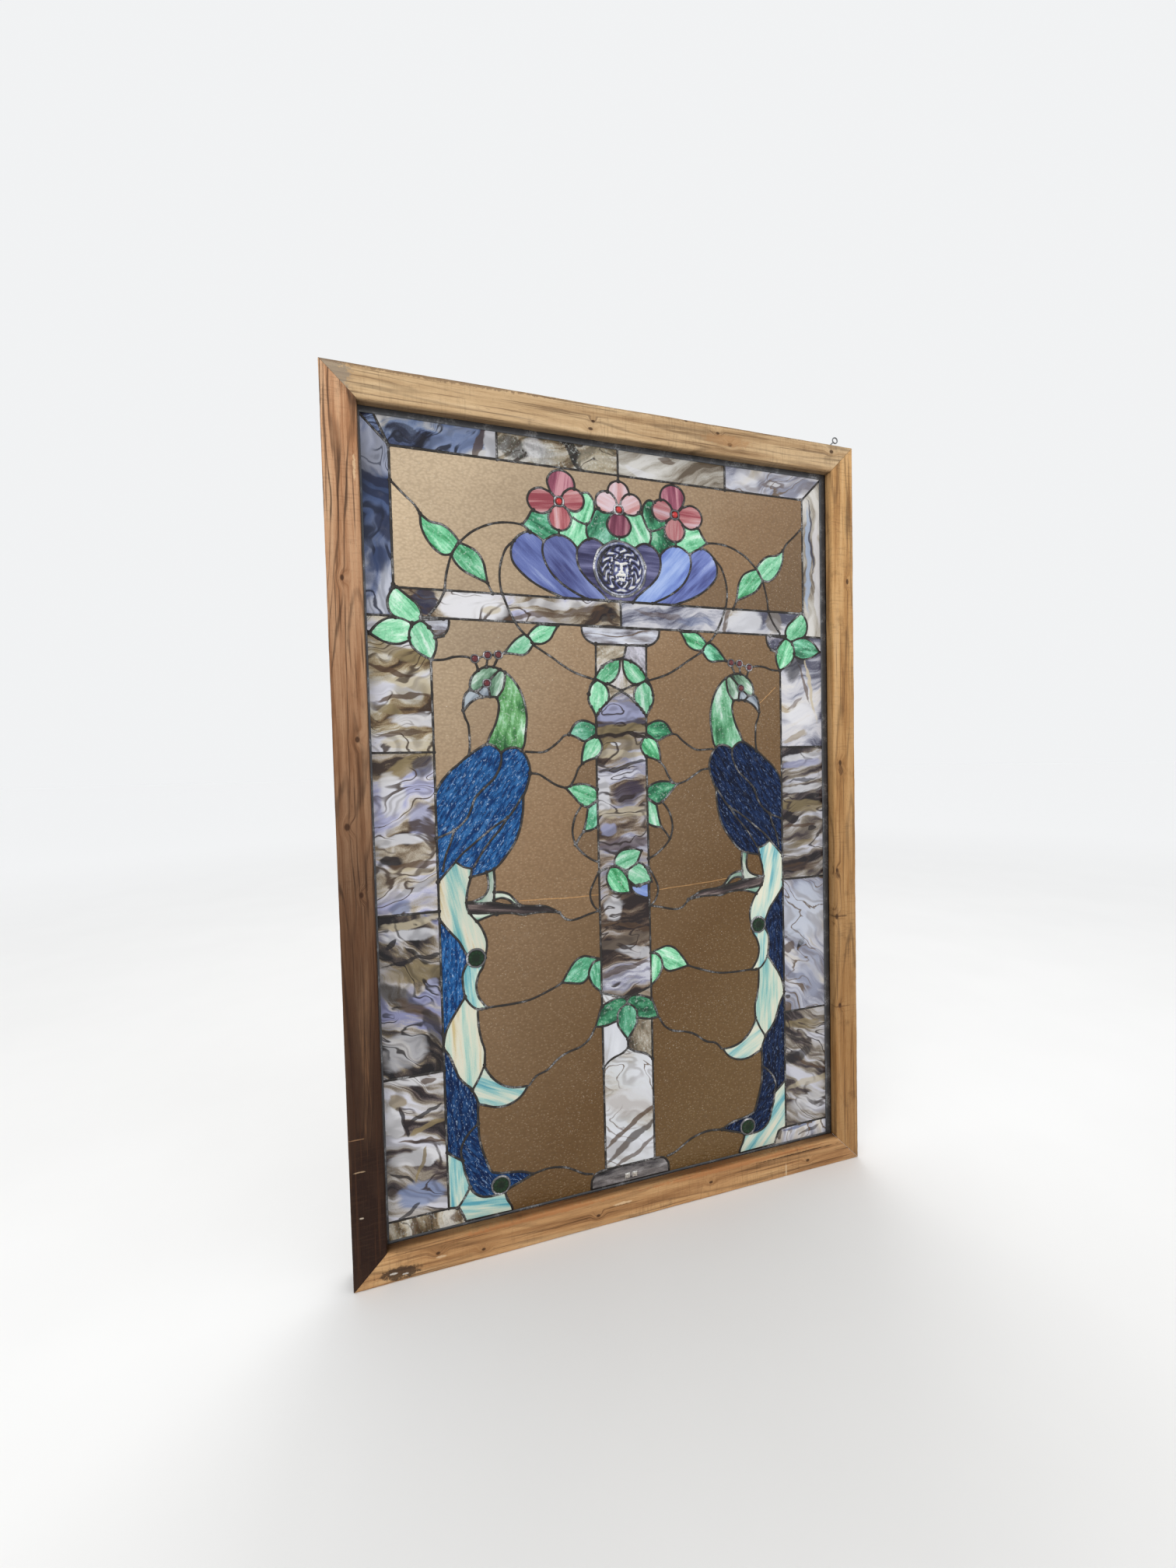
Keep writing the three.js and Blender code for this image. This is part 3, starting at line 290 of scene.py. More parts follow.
# Broad marks inside single panes: middle x and z, half sizes, turn in degrees, colour, softness, strength
black, brown, olive, beige = rgb(26, 22, 28), rgb(84, 62, 44), rgb(136, 120, 86), rgb(186, 174, 148)
white, lavender, navyMark = rgb(212, 212, 216), rgb(160, 164, 196), rgb(28, 34, 62)
steelBlue = rgb(96, 112, 150)
paneMarks = {
    "NightTop": [(-300, 1131, 30, 11, -10, black, 0.5, 0.6),
        (-235, 1131, 42, 24, 30, rgb(116, 132, 168), 0.6, 0.8), (-206, 1128, 5, 30, -12, brown, 0.4, 0.8),
        (-190, 1131, 10, 30, 0, white, 0.4, 0.9)],
    "SandTop": [(-160, 1131, 22, 14, 0, black, 0.6, 0.7), (-128, 1136, 18, 12, 0, white, 0.7, 0.6),
        (-68, 1131, 7, 34, 35, black, 0.3, 0.9), (-36, 1131, 26, 22, 0, beige, 0.6, 0.7)],
    "GreyTop": [(74, 1146, 14, 4, -8, brown, 0.5, 0.7), (30, 1122, 26, 6, -8, white, 0.6, 0.6)],
    "PaleTop": [(262, 1132, 20, 6, 6, brown, 0.5, 0.6), (262, 1132, 12, 3, 6, white, 0.4, 0.8),
        (212, 1128, 20, 20, 0, white, 0.7, 0.5)],
    "Lilac": [(-338, 1104, 26, 30, 0, rgb(168, 172, 186), 0.7, 0.7),
        (-338, 1010, 34, 62, 0, rgb(66, 86, 126), 0.7, 0.8), (-334, 1064, 32, 7, -22, navyMark, 0.6, 0.85),
        (-336, 1044, 32, 6, -28, navyMark, 0.6, 0.75), (-330, 1006, 13, 24, 20, navyMark, 0.6, 0.8),
        (-342, 962, 14, 20, -20, rgb(44, 60, 98), 0.7, 0.8)],
    "AshUpper": [(326, 1020, 5, 90, 0, rgb(150, 166, 190), 0.6, 0.8),
        (333, 1060, 2.2, 60, 3, navyMark, 0.4, 0.8), (346, 1000, 7, 90, 0, white, 0.7, 0.7)],
    "BandLeft": [(-284, 912, 16, 16, 20, navyMark, 0.5, 0.9), (-222, 909, 44, 22, 0, white, 0.5, 0.95),
        (-196, 905, 13, 7, 15, beige, 0.6, 0.7), (-120, 902, 52, 4.0, 6, brown, 0.5, 0.75),
        (-110, 918, 60, 5, 4, white, 0.6, 0.7), (-60, 912, 30, 4, 3, brown, 0.6, 0.75),
        (-25, 906, 14, 9, 30, black, 0.5, 0.8)],
    "BandRight": [(60, 912, 40, 4, -8, brown, 0.7, 0.45), (120, 906, 30, 7, 0, steelBlue, 0.8, 0.4),
        (173, 909, 5, 26, -12, brown, 0.5, 0.8), (205, 909, 30, 22, 0, white, 0.6, 0.8),
        (262, 912, 12, 20, 10, rgb(120, 112, 104), 0.6, 0.8)],
    "CurlsLeft": [(-312, 842, 44, 10, -8, olive, 0.6, 0.85), (-330, 818, 30, 3.2, -14, brown, 0.5, 0.9),
        (-300, 800, 34, 9, -12, beige, 0.7, 0.8), (-318, 782, 38, 3.5, 10, brown, 0.5, 0.85),
        (-336, 764, 20, 7, -20, olive, 0.6, 0.8), (-300, 752, 32, 9, 4, white, 0.7, 0.8),
        (-322, 734, 36, 3.4, 6, brown, 0.5, 0.8), (-310, 718, 40, 6, -6, beige, 0.6, 0.7)],
    "MistLeft": [(-316, 688, 10, 44, -52, olive, 0.6, 0.8), (-336, 650, 18, 26, 0, white, 0.7, 0.85),
        (-292, 690, 14, 14, 0, navyMark, 0.7, 0.7), (-298, 612, 16, 26, 0, lavender, 0.7, 0.8),
        (-326, 590, 36, 8, 0, white, 0.7, 0.8), (-340, 562, 16, 8, 0, black, 0.6, 0.95),
        (-312, 557, 36, 4, 4, brown, 0.5, 0.8), (-310, 548, 34, 6, 0, beige, 0.6, 0.7),
        (-312, 522, 38, 6, 24, rgb(150, 150, 156), 0.7, 0.7), (-330, 500, 16, 10, 0, steelBlue, 0.7, 0.7)],
    "StormLeft": [(-312, 478, 40, 6, 10, beige, 0.6, 0.8), (-316, 460, 38, 9, 0, white, 0.7, 0.8),
        (-342, 450, 9, 4, 40, black, 0.4, 0.9), (-314, 426, 42, 2.6, 6, black, 0.4, 0.85),
        (-312, 408, 42, 14, 0, olive, 0.6, 0.7), (-292, 383, 9, 13, 0, lavender, 0.6, 0.85),
        (-330, 372, 12, 40, 52, black, 0.6, 0.7), (-306, 350, 9, 40, 52, brown, 0.6, 0.7),
        (-332, 304, 30, 22, 20, white, 0.8, 0.6), (-292, 330, 10, 30, 30, black, 0.6, 0.7)],
    "FoldLeft": [(-316, 258, 38, 7, -8, white, 0.7, 0.8), (-300, 256, 12, 4, 0, brown, 0.5, 0.8),
        (-340, 236, 10, 10, 0, olive, 0.5, 0.8), (-348, 206, 13, 22, 0, white, 0.35, 0.95),
        (-334, 206, 3, 24, 8, black, 0.4, 0.9), (-308, 208, 26, 3, 28, black, 0.4, 0.85),
        (-304, 192, 26, 4, 18, olive, 0.5, 0.8), (-312, 174, 34, 2.6, -10, brown, 0.4, 0.85),
        (-316, 152, 38, 11, 0, white, 0.6, 0.85), (-313, 140, 2.0, 28, -18, olive, 0.4, 0.85),
        (-340, 128, 2.2, 20, 62, black, 0.4, 0.85), (-314, 98, 32, 20, 0, rgb(122, 136, 170), 0.6, 0.85),
        (-331, 79, 14, 3, 25, black, 0.4, 0.8)],
    "FootLeft": [(-328, 58, 3, 20, 0, brown, 0.5, 0.8), (-268, 56, 8, 8, 0, brown, 0.6, 0.7)],
    "CurlsRight": [(296, 862, 26, 4, -32, black, 0.5, 0.85), (318, 812, 2.6, 34, 18, brown, 0.5, 0.75),
        (296, 778, 22, 2.6, 30, brown, 0.5, 0.6), (292, 850, 18, 34, 10, black, 0.7, 0.75),
        (330, 800, 3, 50, 12, beige, 0.5, 0.8), (310, 760, 30, 18, 0, white, 0.7, 0.8),
        (298, 724, 26, 5, 20, rgb(150, 136, 112), 0.6, 0.7)],
    "FootRight": [(300, 67, 36, 3.5, 8, steelBlue, 0.6, 0.8), (258, 58, 5, 10, 20, black, 0.5, 0.8),
        (318, 56, 22, 3, 14, black, 0.5, 0.7)],
    "MistRight": [(312, 655, 34, 2.2, 3, black, 0.5, 0.7), (334, 626, 14, 4, 4, black, 0.4, 0.9),
        (290, 588, 15, 9, -8, black, 0.5, 0.9), (306, 576, 34, 2.4, 4, brown, 0.5, 0.8),
        (312, 680, 40, 8, 4, lavender, 0.7, 0.7), (312, 640, 42, 7, 3, white, 0.7, 0.8),
        (312, 690, 42, 6, 3, white, 0.7, 0.8), (312, 610, 42, 9, -3, olive, 0.6, 0.75),
        (330, 570, 9, 5, 0, black, 0.4, 0.85), (310, 545, 42, 5, 4, olive, 0.6, 0.6),
        (310, 510, 42, 7, 0, brown, 0.6, 0.6)],
    "StormRight": [(290, 396, 14, 2.6, 24, black, 0.4, 0.95), (303, 380, 3, 13, -24, black, 0.4, 0.95),
        (300, 462, 34, 16, 20, rgb(150, 158, 184), 0.8, 0.5),
        (312, 430, 40, 46, 0, rgb(206, 212, 224), 0.7, 0.8), (282, 372, 9, 8, 30, brown, 0.6, 0.8),
        (278, 292, 5, 4, 0, black, 0.4, 0.8), (322, 330, 26, 40, 0, rgb(164, 170, 190), 0.7, 0.6)],
    "FoldRight": [(300, 216, 30, 3, -24, black, 0.5, 0.8), (288, 186, 12, 12, 30, black, 0.6, 0.85),
        (322, 168, 34, 2.6, -26, brown, 0.5, 0.8), (312, 240, 42, 8, -6, olive, 0.6, 0.7),
        (300, 186, 26, 10, 22, black, 0.6, 0.75), (318, 140, 42, 6, 4, beige, 0.6, 0.7),
        (318, 104, 38, 14, 0, white, 0.7, 0.6)],
    "Shaft": [(-6, 764, 50, 13, 2, lavender, 0.5, 0.9), (-6, 748, 46, 3, 4, rgb(92, 88, 104), 0.5, 0.75),
        (-6, 738, 50, 8, 3, olive, 0.5, 0.8), (-2, 729, 44, 2.6, 2, rgb(34, 24, 20), 0.4, 0.95),
        (-6, 716, 50, 10, 2, olive, 0.6, 0.8), (-15, 717, 9, 3.5, 0, white, 0.5, 0.85),
        (-6, 701, 50, 6, 0, beige, 0.6, 0.85), (-6, 681, 44, 3.5, 14, black, 0.5, 0.8),
        (-38, 640, 11, 28, 0, white, 0.6, 0.9), (2, 642, 26, 17, 20, rgb(62, 54, 74), 0.6, 0.85),
        (-6, 613, 50, 8, 0, beige, 0.6, 0.75), (-30, 590, 12, 9, 0, lavender, 0.6, 0.8),
        (-6, 566, 50, 10, 0, rgb(84, 66, 66), 0.6, 0.8), (-26, 470, 14, 18, 0, white, 0.6, 0.8),
        (0, 440, 50, 3.4, -12, brown, 0.5, 0.8), (-10, 420, 50, 8, 8, rgb(112, 98, 84), 0.6, 0.7),
        (10, 400, 30, 8, -14, white, 0.7, 0.7), (-10, 376, 50, 5, 10, brown, 0.5, 0.75)],
    "LowShaft": [(-6, 168, 46, 20, 0, white, 0.7, 0.6), (-10, 128, 50, 4, 34, brown, 0.5, 0.85),
        (-6, 108, 50, 6, 34, rgb(60, 46, 36), 0.5, 0.8), (0, 86, 50, 4, 30, brown, 0.5, 0.75)],
}


# Mended cracks in the amber field, each from x and z to x and z
cracks = [(-168, 494, -110, 492), (-110, 491, -46, 492), (42, 491, 104, 494), (104, 494, 168, 499),
          (230, 778, 262, 806)]


def cracked(made, colour, x, z, thin):
    for startX, startZ, endX, endZ in cracks:
        length = math.hypot(endX - startX, endZ - startZ)
        alongX, alongZ = (endX - startX) / length, (endZ - startZ) / length
        run = (x * 1000 - startX) * alongX + (z * 1000 - startZ) * alongZ
        off = abs((x * 1000 - startX) * alongZ - (z * 1000 - startZ) * alongX + (thin - 0.5) * 3.0)
        line = (1 - made.step(off, 0.2, 0.85)) * made.step(run, -1.0,
            1.0) * (1 - made.step(run, length - 1, length + 1))
        colour = made.mix(line * 0.8, colour, rgb(196, 150, 98))
    return colour


def withMarks(made, colour, marks, where, broad, thin):
    # each mark is a turned oval with a ragged edge
    markX, _, markZ = made.parts(made.warped(where, 30.0, 0.021))
    edge = (broad - 0.5) * 1.1 + (thin - 0.5) * 1.3
    for midX, midZ, halfX, halfZ, turn, markColour, soft, strength in marks:
        angle = math.radians(turn)
        fromX, fromZ = markX * 1000 - midX, markZ * 1000 - midZ
        right = (fromX * math.cos(angle) + fromZ * math.sin(angle)) / halfX
        upward = (fromZ * math.cos(angle) - fromX * math.sin(angle)) / halfZ
        spot = 1 - made.step(right * right + upward * upward + edge, 1 - soft * 0.6, 1 + soft * 0.6)
        colour = made.mix(spot * strength, colour, markColour)
    return colour


def withVeins(made, colour, flow, thin, veinColour, scale, width):
    # dark hair lines, each inside a soft band of the same colour
    bent = made.grain(made.stretch(flow, (scale * 0.8, scale * 2.0, 7.0)), 1.0, 1.5, 0.4, 0.9)
    bands = made.folded(bent * 11.0 + thin * 0.6)
    patchy = made.step(made.grain(flow, 14.0, 2.0), 0.33, 0.52)
    colour = made.mix(made.step(bands, 0.50, 0.90) * patchy * 0.36, colour, veinColour)
    return made.mix((1 - made.step(bands, width, width * 4.0)) * patchy * 0.9, colour, veinColour)


def withHammering(made, colour, where):
    cells = made.stretch(made.warped(where, 90.0, 0.004), (230.0, 230.0, 330.0))
    dimples = made.node("TexVoronoi", {"feature": "SMOOTH_F1"},
                        {"Vector": cells, "Scale": 1.0, "Smoothness": 0.6})
    # painted shade towards the dimples' edges and painted light in their middles
    colour = made.mix(made.step(dimples, 0.30, 0.75) * 0.18, colour, rgb(70, 50, 30))
    colour = made.mix((1 - made.step(dimples, 0.08, 0.30)) * 0.17, colour, rgb(226, 206, 176))
    # painted glints: small bright flecks, gathered in patches
    paintedGlints = made.step(made.grain(where, 380.0, 2.0, 0.7), 0.66, 0.74)
    paintedGlints = paintedGlints * made.step(made.grain(where, 9.0, 2.0), 0.46, 0.62)
    colour = made.mix(paintedGlints * 0.45, colour, rgb(232, 224, 206))
    return colour, dimples + made.grain(where, 60.0, 2.0) * 0.6, 0.7, 0.0014


def withRipples(made, colour, flow, glintColour):
    ridges = made.grain(made.stretch(made.warped(flow, 60.0, 0.006), (190.0, 560.0, 190.0)), 1.0,
                        2.0, 0.5, 0.8)
    # painted glints on the ripples' crests and painted shade in their troughs
    colour = made.mix(made.step(ridges, 0.615, 0.66) * 0.56, colour, glintColour)
    colour = made.mix((1 - made.step(ridges, 0.32, 0.44)) * 0.45, colour, rgb(6, 14, 34))
    return colour, ridges, 0.9, 0.0018


def withBumps(made, colour, where):
    bumps = made.grain(where, 330.0, 2.0, 0.6)
    # painted glints on the bumps' tops and painted shade in their hollows
    colour = made.mix(made.step(bumps, 0.56, 0.70) * 0.30, colour, rgb(232, 242, 238))
    colour = made.mix((1 - made.step(bumps, 0.34, 0.46)) * 0.22, colour, rgb(34, 84, 66))
    return colour, bumps + made.grain(where, 90.0, 2.0), 0.5, 0.0010


def madeGlass(kind, title, marks):
    style = glassKinds[kind]
    made = Finish("glass" + title)
    flow = made.attribute("flow", out=1)
    tone = made.attribute("tone")
    where = made.place()
    if "warp" in style:
        flow = made.warped(flow, 16.0, style["warp"])
    broad = made.grain(made.stretch(flow, (style["along"], style["across"], 10.0)), 1.0, 3.0, 0.5)
    thin = made.grain(made.stretch(flow, (style["along"] * 3.0, style["across"] * 4.5, 30.0)), 1.0, 3.0, 0.6)
    if kind == "amber":
        # from honey at one upper corner to umber at the foot and the other side: partly the glass's own tone,
        # partly painted light from the upper left and painted shade towards the foot
        x, _, z = made.parts(where)
        pattern = ((1.12 - z) * 0.7 + (x + 0.36) * 0.9 + (broad - 0.5) * 0.16) * 0.9
        colour = cracked(made, made.ramp(pattern, style["tones"]), x, z, thin)
    else:
        fine = made.grain(where, 620.0, 2.0, 0.6)
        sway = 2.6 if "veins" in style else 1.75 if style["surface"] == "granite" else 1.9
        pattern = (broad - 0.5) * sway + (thin - 0.5) * 0.6 + (fine - 0.5) * 0.22 + 0.5
        colour = made.ramp(pattern, style["tones"])
    if marks:
        colour = withMarks(made, colour, marks, where, broad, thin)
    if "veins" in style:
        colour = withVeins(made, colour, flow, thin, *style["veins"])
    shades = [(0.0, (0.80, 0.80, 0.82, 1)), (0.5, (0.97, 0.97, 0.97, 1)), (1.0, (1.10, 1.09, 1.08, 1))]
    colour = made.mix(1.0, colour, made.ramp(0.5 + tone * 0.5, shades), "MULTIPLY")
    dust = made.grain(where, 46.0, 5.0, 0.7)
    colour = made.mix(made.step(dust, 0.58, 0.80) * 0.10, colour, rgb(176, 168, 156))
    shine = 0.30
    if style["surface"] == "hammered":
        shine = 0.16
        colour, height, strength, distance = withHammering(made, colour, where)
    elif style["surface"] == "ripple":
        shine = 0.14
        glintColour = rgb(112, 132, 168) if kind == "navy" else rgb(168, 192, 220)
        colour, height, strength, distance = withRipples(made, colour, flow, glintColour)
    elif style["surface"] == "granite":
        colour, height, strength, distance = withBumps(made, colour, where)
    else:
        waves = made.grain(where, 26.0, 2.0) + made.grain(flow, 110.0, 2.0) * 0.3
        height, strength, distance = waves, 0.4, 0.0018
    gloss = 0.08 + made.step(dust, 0.35, 0.8) * 0.22
    return made.surface({"IOR": 1.5, "Specular IOR Level": shine}, {"Base Color": colour, "Roughness": gloss},
                        height, strength, distance)


def madeLead(name, dark, bright, worn):
    made = Finish(name)
    where = made.place()
    crest = made.attribute("crest")
    patches = made.grain(where, 34.0, 5.0, 0.65)
    scratches = made.grain(where, 380.0, 3.0, 0.7)
    silver = (made.step(patches, 0.48, 0.66) * made.step(scratches, 0.36, 0.60) * crest * worn).kept()
    colour = made.mix(silver, made.mix(patches, dark, [value * 1.9 for value in dark[:3]] + [1]), bright)
    rough = 0.52 - silver * 0.22
    return made.surface({"Metallic": 0.75, "IOR": 1.5}, {"Base Color": colour, "Roughness": rough},
                        patches + scratches * 0.4, 0.45, 0.0008)


def madeMesh(name, points, faces, finish, node=None, smooth=True):
    # one piece of the window, from points in millimetres
    mesh = bpy.data.meshes.new(name)
    mesh.from_pydata((np.asarray(points, float) * mm).tolist(), [], faces)
    mesh.materials.append(finish)
    mesh.polygons.foreach_set("use_smooth", [smooth] * len(mesh.polygons))
    mesh.update()
    piece = bpy.data.objects.new(name, mesh)
    bpy.context.scene.collection.objects.link(piece)
    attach(piece, "root")
    if node:
        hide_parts(*([node] if isinstance(node, str) else node))
    return piece


def facedOut(piece):
    # turns a closed piece's faces round where they look inward
    mesh = piece.data
    if sum(mesh.vertices[face.vertices[0]].co.dot(face.normal) * face.area for face in mesh.polygons) < 0:
        mesh.flip_normals()


def tubeFaces(rings, size):
    # the sides between rings of points, and both ends
    faces = []
    for index in range(rings - 1):
        for k in range(size):
            p, q = index * size + k, index * size + (k + 1) % size
            faces.append((p, q, q + size, p + size))
    return faces + [tuple(range(size))[::-1], tuple(range((rings - 1) * size, rings * size))]


def marked(piece, name, values, kind="FLOAT"):
    layer = piece.data.attributes.new(name, kind, "POINT")
    layer.data.foreach_set("vector" if kind == "FLOAT_VECTOR" else "value", np.asarray(values, float).ravel())


def jitter(x, y, z, scale):
    return noise.noise(Vector((x, y, z)) * scale)


# The panel's places come from its came, and its thickness is the glass's
cameLow, cameHigh = [np.array(corner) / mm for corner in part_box("border_came")]
axisX = (cameLow[0] + cameHigh[0]) / 2
cameFace = 11.0
halfGlass = 1.5
sight = (cameLow[0] + cameFace, cameHigh[0] - cameFace, cameLow[2] + cameFace, cameHigh[2] - cameFace)
bothSides = (-1, 1)
sideNames = {-1: "left", 1: "right"}
# Main lines and places of the drawing: distance off the axis, height
drawing = {
    "topBand": 1113, "cornerTop": 1152, "upperFoot": 928, "bandFoot": 890, "footTop": 70,
    "upperSide": 320, "side": 275, "edge": 356, "topSplit": 178, "sideSplits": (708, 489, 266),
    "crownSide": 130, "crownFoot": 1060, "footSide": 258,
    "columnSide": 40, "columnTop": 864, "columnFoot": 71, "neckFoot": 832, "shaftFoot": 335,
    "rondel": (0, 976), "rondelRadius": 40.6, "sideFlower": (91, 1065), "middleFlower": (0, 1063),
    "heartRadius": 6.8,
    "roundels": ((227, 418.5), (202, 86)), "roundelRadius": 12.0,
    "beads": ((216.5, 836.5), (199, 842), (184, 843), (201, 803)),
}
# The column stands a little to the left: by how much, how far out and how far down that is eased in
columnShift = {"by": 3.5, "outTo": 150, "outEase": 90, "downFrom": 890, "downEase": 190}


def placed(points, side):
    # from [distance off the axis, height] to the panel
    points = np.asarray(points, float)
    reach = np.clip((columnShift["outTo"] - abs(points[:, 0])) / columnShift["outEase"], 0, 1)
    drop = np.clip((columnShift["downFrom"] - points[:, 1]) / columnShift["downEase"], 0, 1)
    return np.column_stack([axisX + side * points[:, 0] - columnShift["by"] * reach * drop, points[:, 1]])


def walk(runs, gap=2.0):
    # points along runs, each run one smooth stretch that starts where the last one ended
    runs = [np.reshape(run, (-1, 2)).astype(float) for run in runs]
    out = [runs[0][0]]
    for index, run in enumerate(runs):
        points = np.vstack([runs[index - 1][-1:], run]) if index else run
        for j in range(len(points) - 1):
            a, b, c, d = points[max(j - 1, 0)], points[j], points[j + 1], points[min(j + 2, len(points) - 1)]
            leave, arrive = (c - a) / 2, (d - b) / 2
            steps = max(1, math.ceil(np.linalg.norm(c - b) / gap))
            for t in np.arange(1, steps + 1) / steps:
                cubic = (2 * b - 2 * c + leave + arrive) * t ** 3
                out.append(cubic + (3 * c - 3 * b - 2 * leave - arrive) * t ** 2 + leave * t + b)
    return np.array(out)


def circle(middle, radius, count=28):
    turns = np.linspace(0, 2 * math.pi, count + 1)
    return np.column_stack([middle[0] + radius * np.cos(turns), middle[1] + radius * np.sin(turns)])


def petal(middle, turn, length, width):
    sweep = np.linspace(-2.35, 2.35, 7)
    along = length * (0.57 + 0.43 * np.cos(sweep))
    across = width / 2 * np.sin(sweep)
    angle = math.radians(turn)
    x = middle[0] + along * math.cos(angle) - across * math.sin(angle)
    z = middle[1] + along * math.sin(angle) + across * math.cos(angle)
    bow = [[float(a), float(b)] for a, b in zip(x, z)]
    return walk([[list(middle), bow[0]], bow[1:], [list(middle)]])


def within(outline, points):
    x, z = points[:, 0][:, None], points[:, 1][:, None]
    ax, az = outline.T
    bx, bz = np.roll(outline, -1, axis=0).T
    level = np.where(bz == az, 1e-9, bz - az)
    crossed = ((az > z) != (bz > z)) & (x < (bx - ax) * (z - az) / level + ax)
    return crossed.sum(axis=1) % 2 == 1


# The drawing, in millimetres and the same on both halves unless a side is named: a run is distances off
# the axis and heights in turn, and an outline is a list of runs
topBand, cornerTop, upperFoot, bandFoot, footTop = [
    drawing[key] for key in ("topBand", "cornerTop", "upperFoot", "bandFoot", "footTop")]
upperSide, sideLine, panelEdge, columnSide, topSplit = [
    drawing[key] for key in ("upperSide", "side", "edge", "columnSide", "topSplit")]
straightSeams = [
    [0, topBand, upperSide, topBand], [upperSide, topBand, panelEdge + 2, cornerTop],
    [topSplit, topBand, topSplit, cornerTop], [upperSide, topBand, upperSide, upperFoot],
    [0, upperFoot, upperSide, upperFoot], [0, bandFoot, panelEdge, bandFoot],
    [sideLine, bandFoot, sideLine, footTop],
    *[[sideLine, height, panelEdge, height] for height in drawing["sideSplits"]],
    [sideLine, footTop, panelEdge, footTop],
    [columnSide, drawing["columnTop"], columnSide, drawing["columnFoot"]],
]
middleSeams = [[0, 1100, 0, cornerTop], [0, upperFoot, 0, bandFoot], [0, 933, 0, upperFoot],
               [8, 864, 5, 850, 1, 843]]
vines = [
    [319, 1067, 304, 1052, 290, 1039, 283, 1028],
    [232, 995, 217, 1009, 200, 1019, 180, 1026, 160, 1028, 145, 1027],
    [244, 977, 248, 963, 252, 946, 254, 929, 257, 921, 264, 908, 276, 893],
    [196, 942, 190, 929],
    [158, 1003, 168, 993, 174, 980, 178, 965, 179, 948, 177, 932, 175, 926, 168, 908, 159, 890,
     152, 880, 143, 871],
    [134, 859, 118, 849, 105, 841, 92, 832, 72, 821, 44, 812],
    [273, 833, 258, 834, 245, 838, 230, 839, 216.5, 836.5, 199, 842, 184, 843, 175, 846],
    [216, 832, 212, 821], [199, 837, 201, 826], [185, 838, 191, 826],
    [234, 763, 232, 755, 228, 745, 227, 730, 227, 714, 229, 702],
    [157, 223, 146, 235, 129, 241, 111, 255, 95, 262, 75, 267, 61, 277, 52, 292],
    [214, 346, 180, 346, 150, 349, 115, 361, 102, 367],
    [155, 91, 130, 94, 107, 90, 92, 83, 75, 73, 60, 69],
    [150, 707, 137, 706, 122, 706, 110, 712, 97, 722, 90, 729, 82, 731],
    [63, 687, 69, 680, 74, 668, 82, 655],
    [143, 676, 130, 674, 120, 668, 104, 658, 89, 653],
    [64, 627, 74, 613, 79, 598, 80, 585, 76, 570, 67, 558, 52, 546, 41, 541],
    [63, 587, 70, 578, 75, 570],
    [27, 531, 40, 525, 48, 512, 54, 498, 54, 487, 49, 475, 42, 468],
    [209, 538, 207, 525, 208, 513, 215, 504, 228, 499, 237, 498],
    [199, 541, 198, 525, 199, 510, 200, 497],
    [198, 509, 188, 508, 178, 504, 170, 495, 164, 488],
    [200, 498, 190, 500, 180, 497, 172, 490],
    [237, 497, 220, 495, 200, 494, 185, 490, 170, 488, 150, 485, 128, 483, 114, 477, 104, 471],
    [225, 470, 210, 475, 195, 478, 175, 477, 160, 473, 145, 474, 125, 474, 104, 471],
    [233, 483, 220, 481, 205, 480, 197, 478],
    [104, 471, 99, 465, 93, 460, 84, 458, 72, 460, 58, 464, 40, 468],
    [256, 866, 269, 863], [356, 865, 352, 866],
    [0, 266, 0, 253], [0, 253, 9, 246, 21, 242, 31, 237, 40, 228], [40, 343, 26, 338, 10, 333, 0, 332],
]
figures = []
flowOf = {}


def addFigure(node, kind, outline, seams=(), side=0, closed=True):
    # an outline that lies over every earlier one, with the seams inside it
    line = outline if isinstance(outline, np.ndarray) else walk(outline)
    inner = [walk(seam if isinstance(seam[0], list) else [seam]) for seam in seams]
    figures.append({"node": node, "kind": kind, "outline": placed(line, side or 1), "closed": closed,
                    "seams": [placed(seam, side or 1) for seam in inner]})


def addInnerSeam(line, side):
    figures[-1]["seams"].append(placed(walk([line]), side))


def acrossAxis(runs):
    # a half outline from the axis round to the axis, and its mirror image
    half = walk(runs)
    return np.vstack([half, half[::-1] * (-1, 1)])


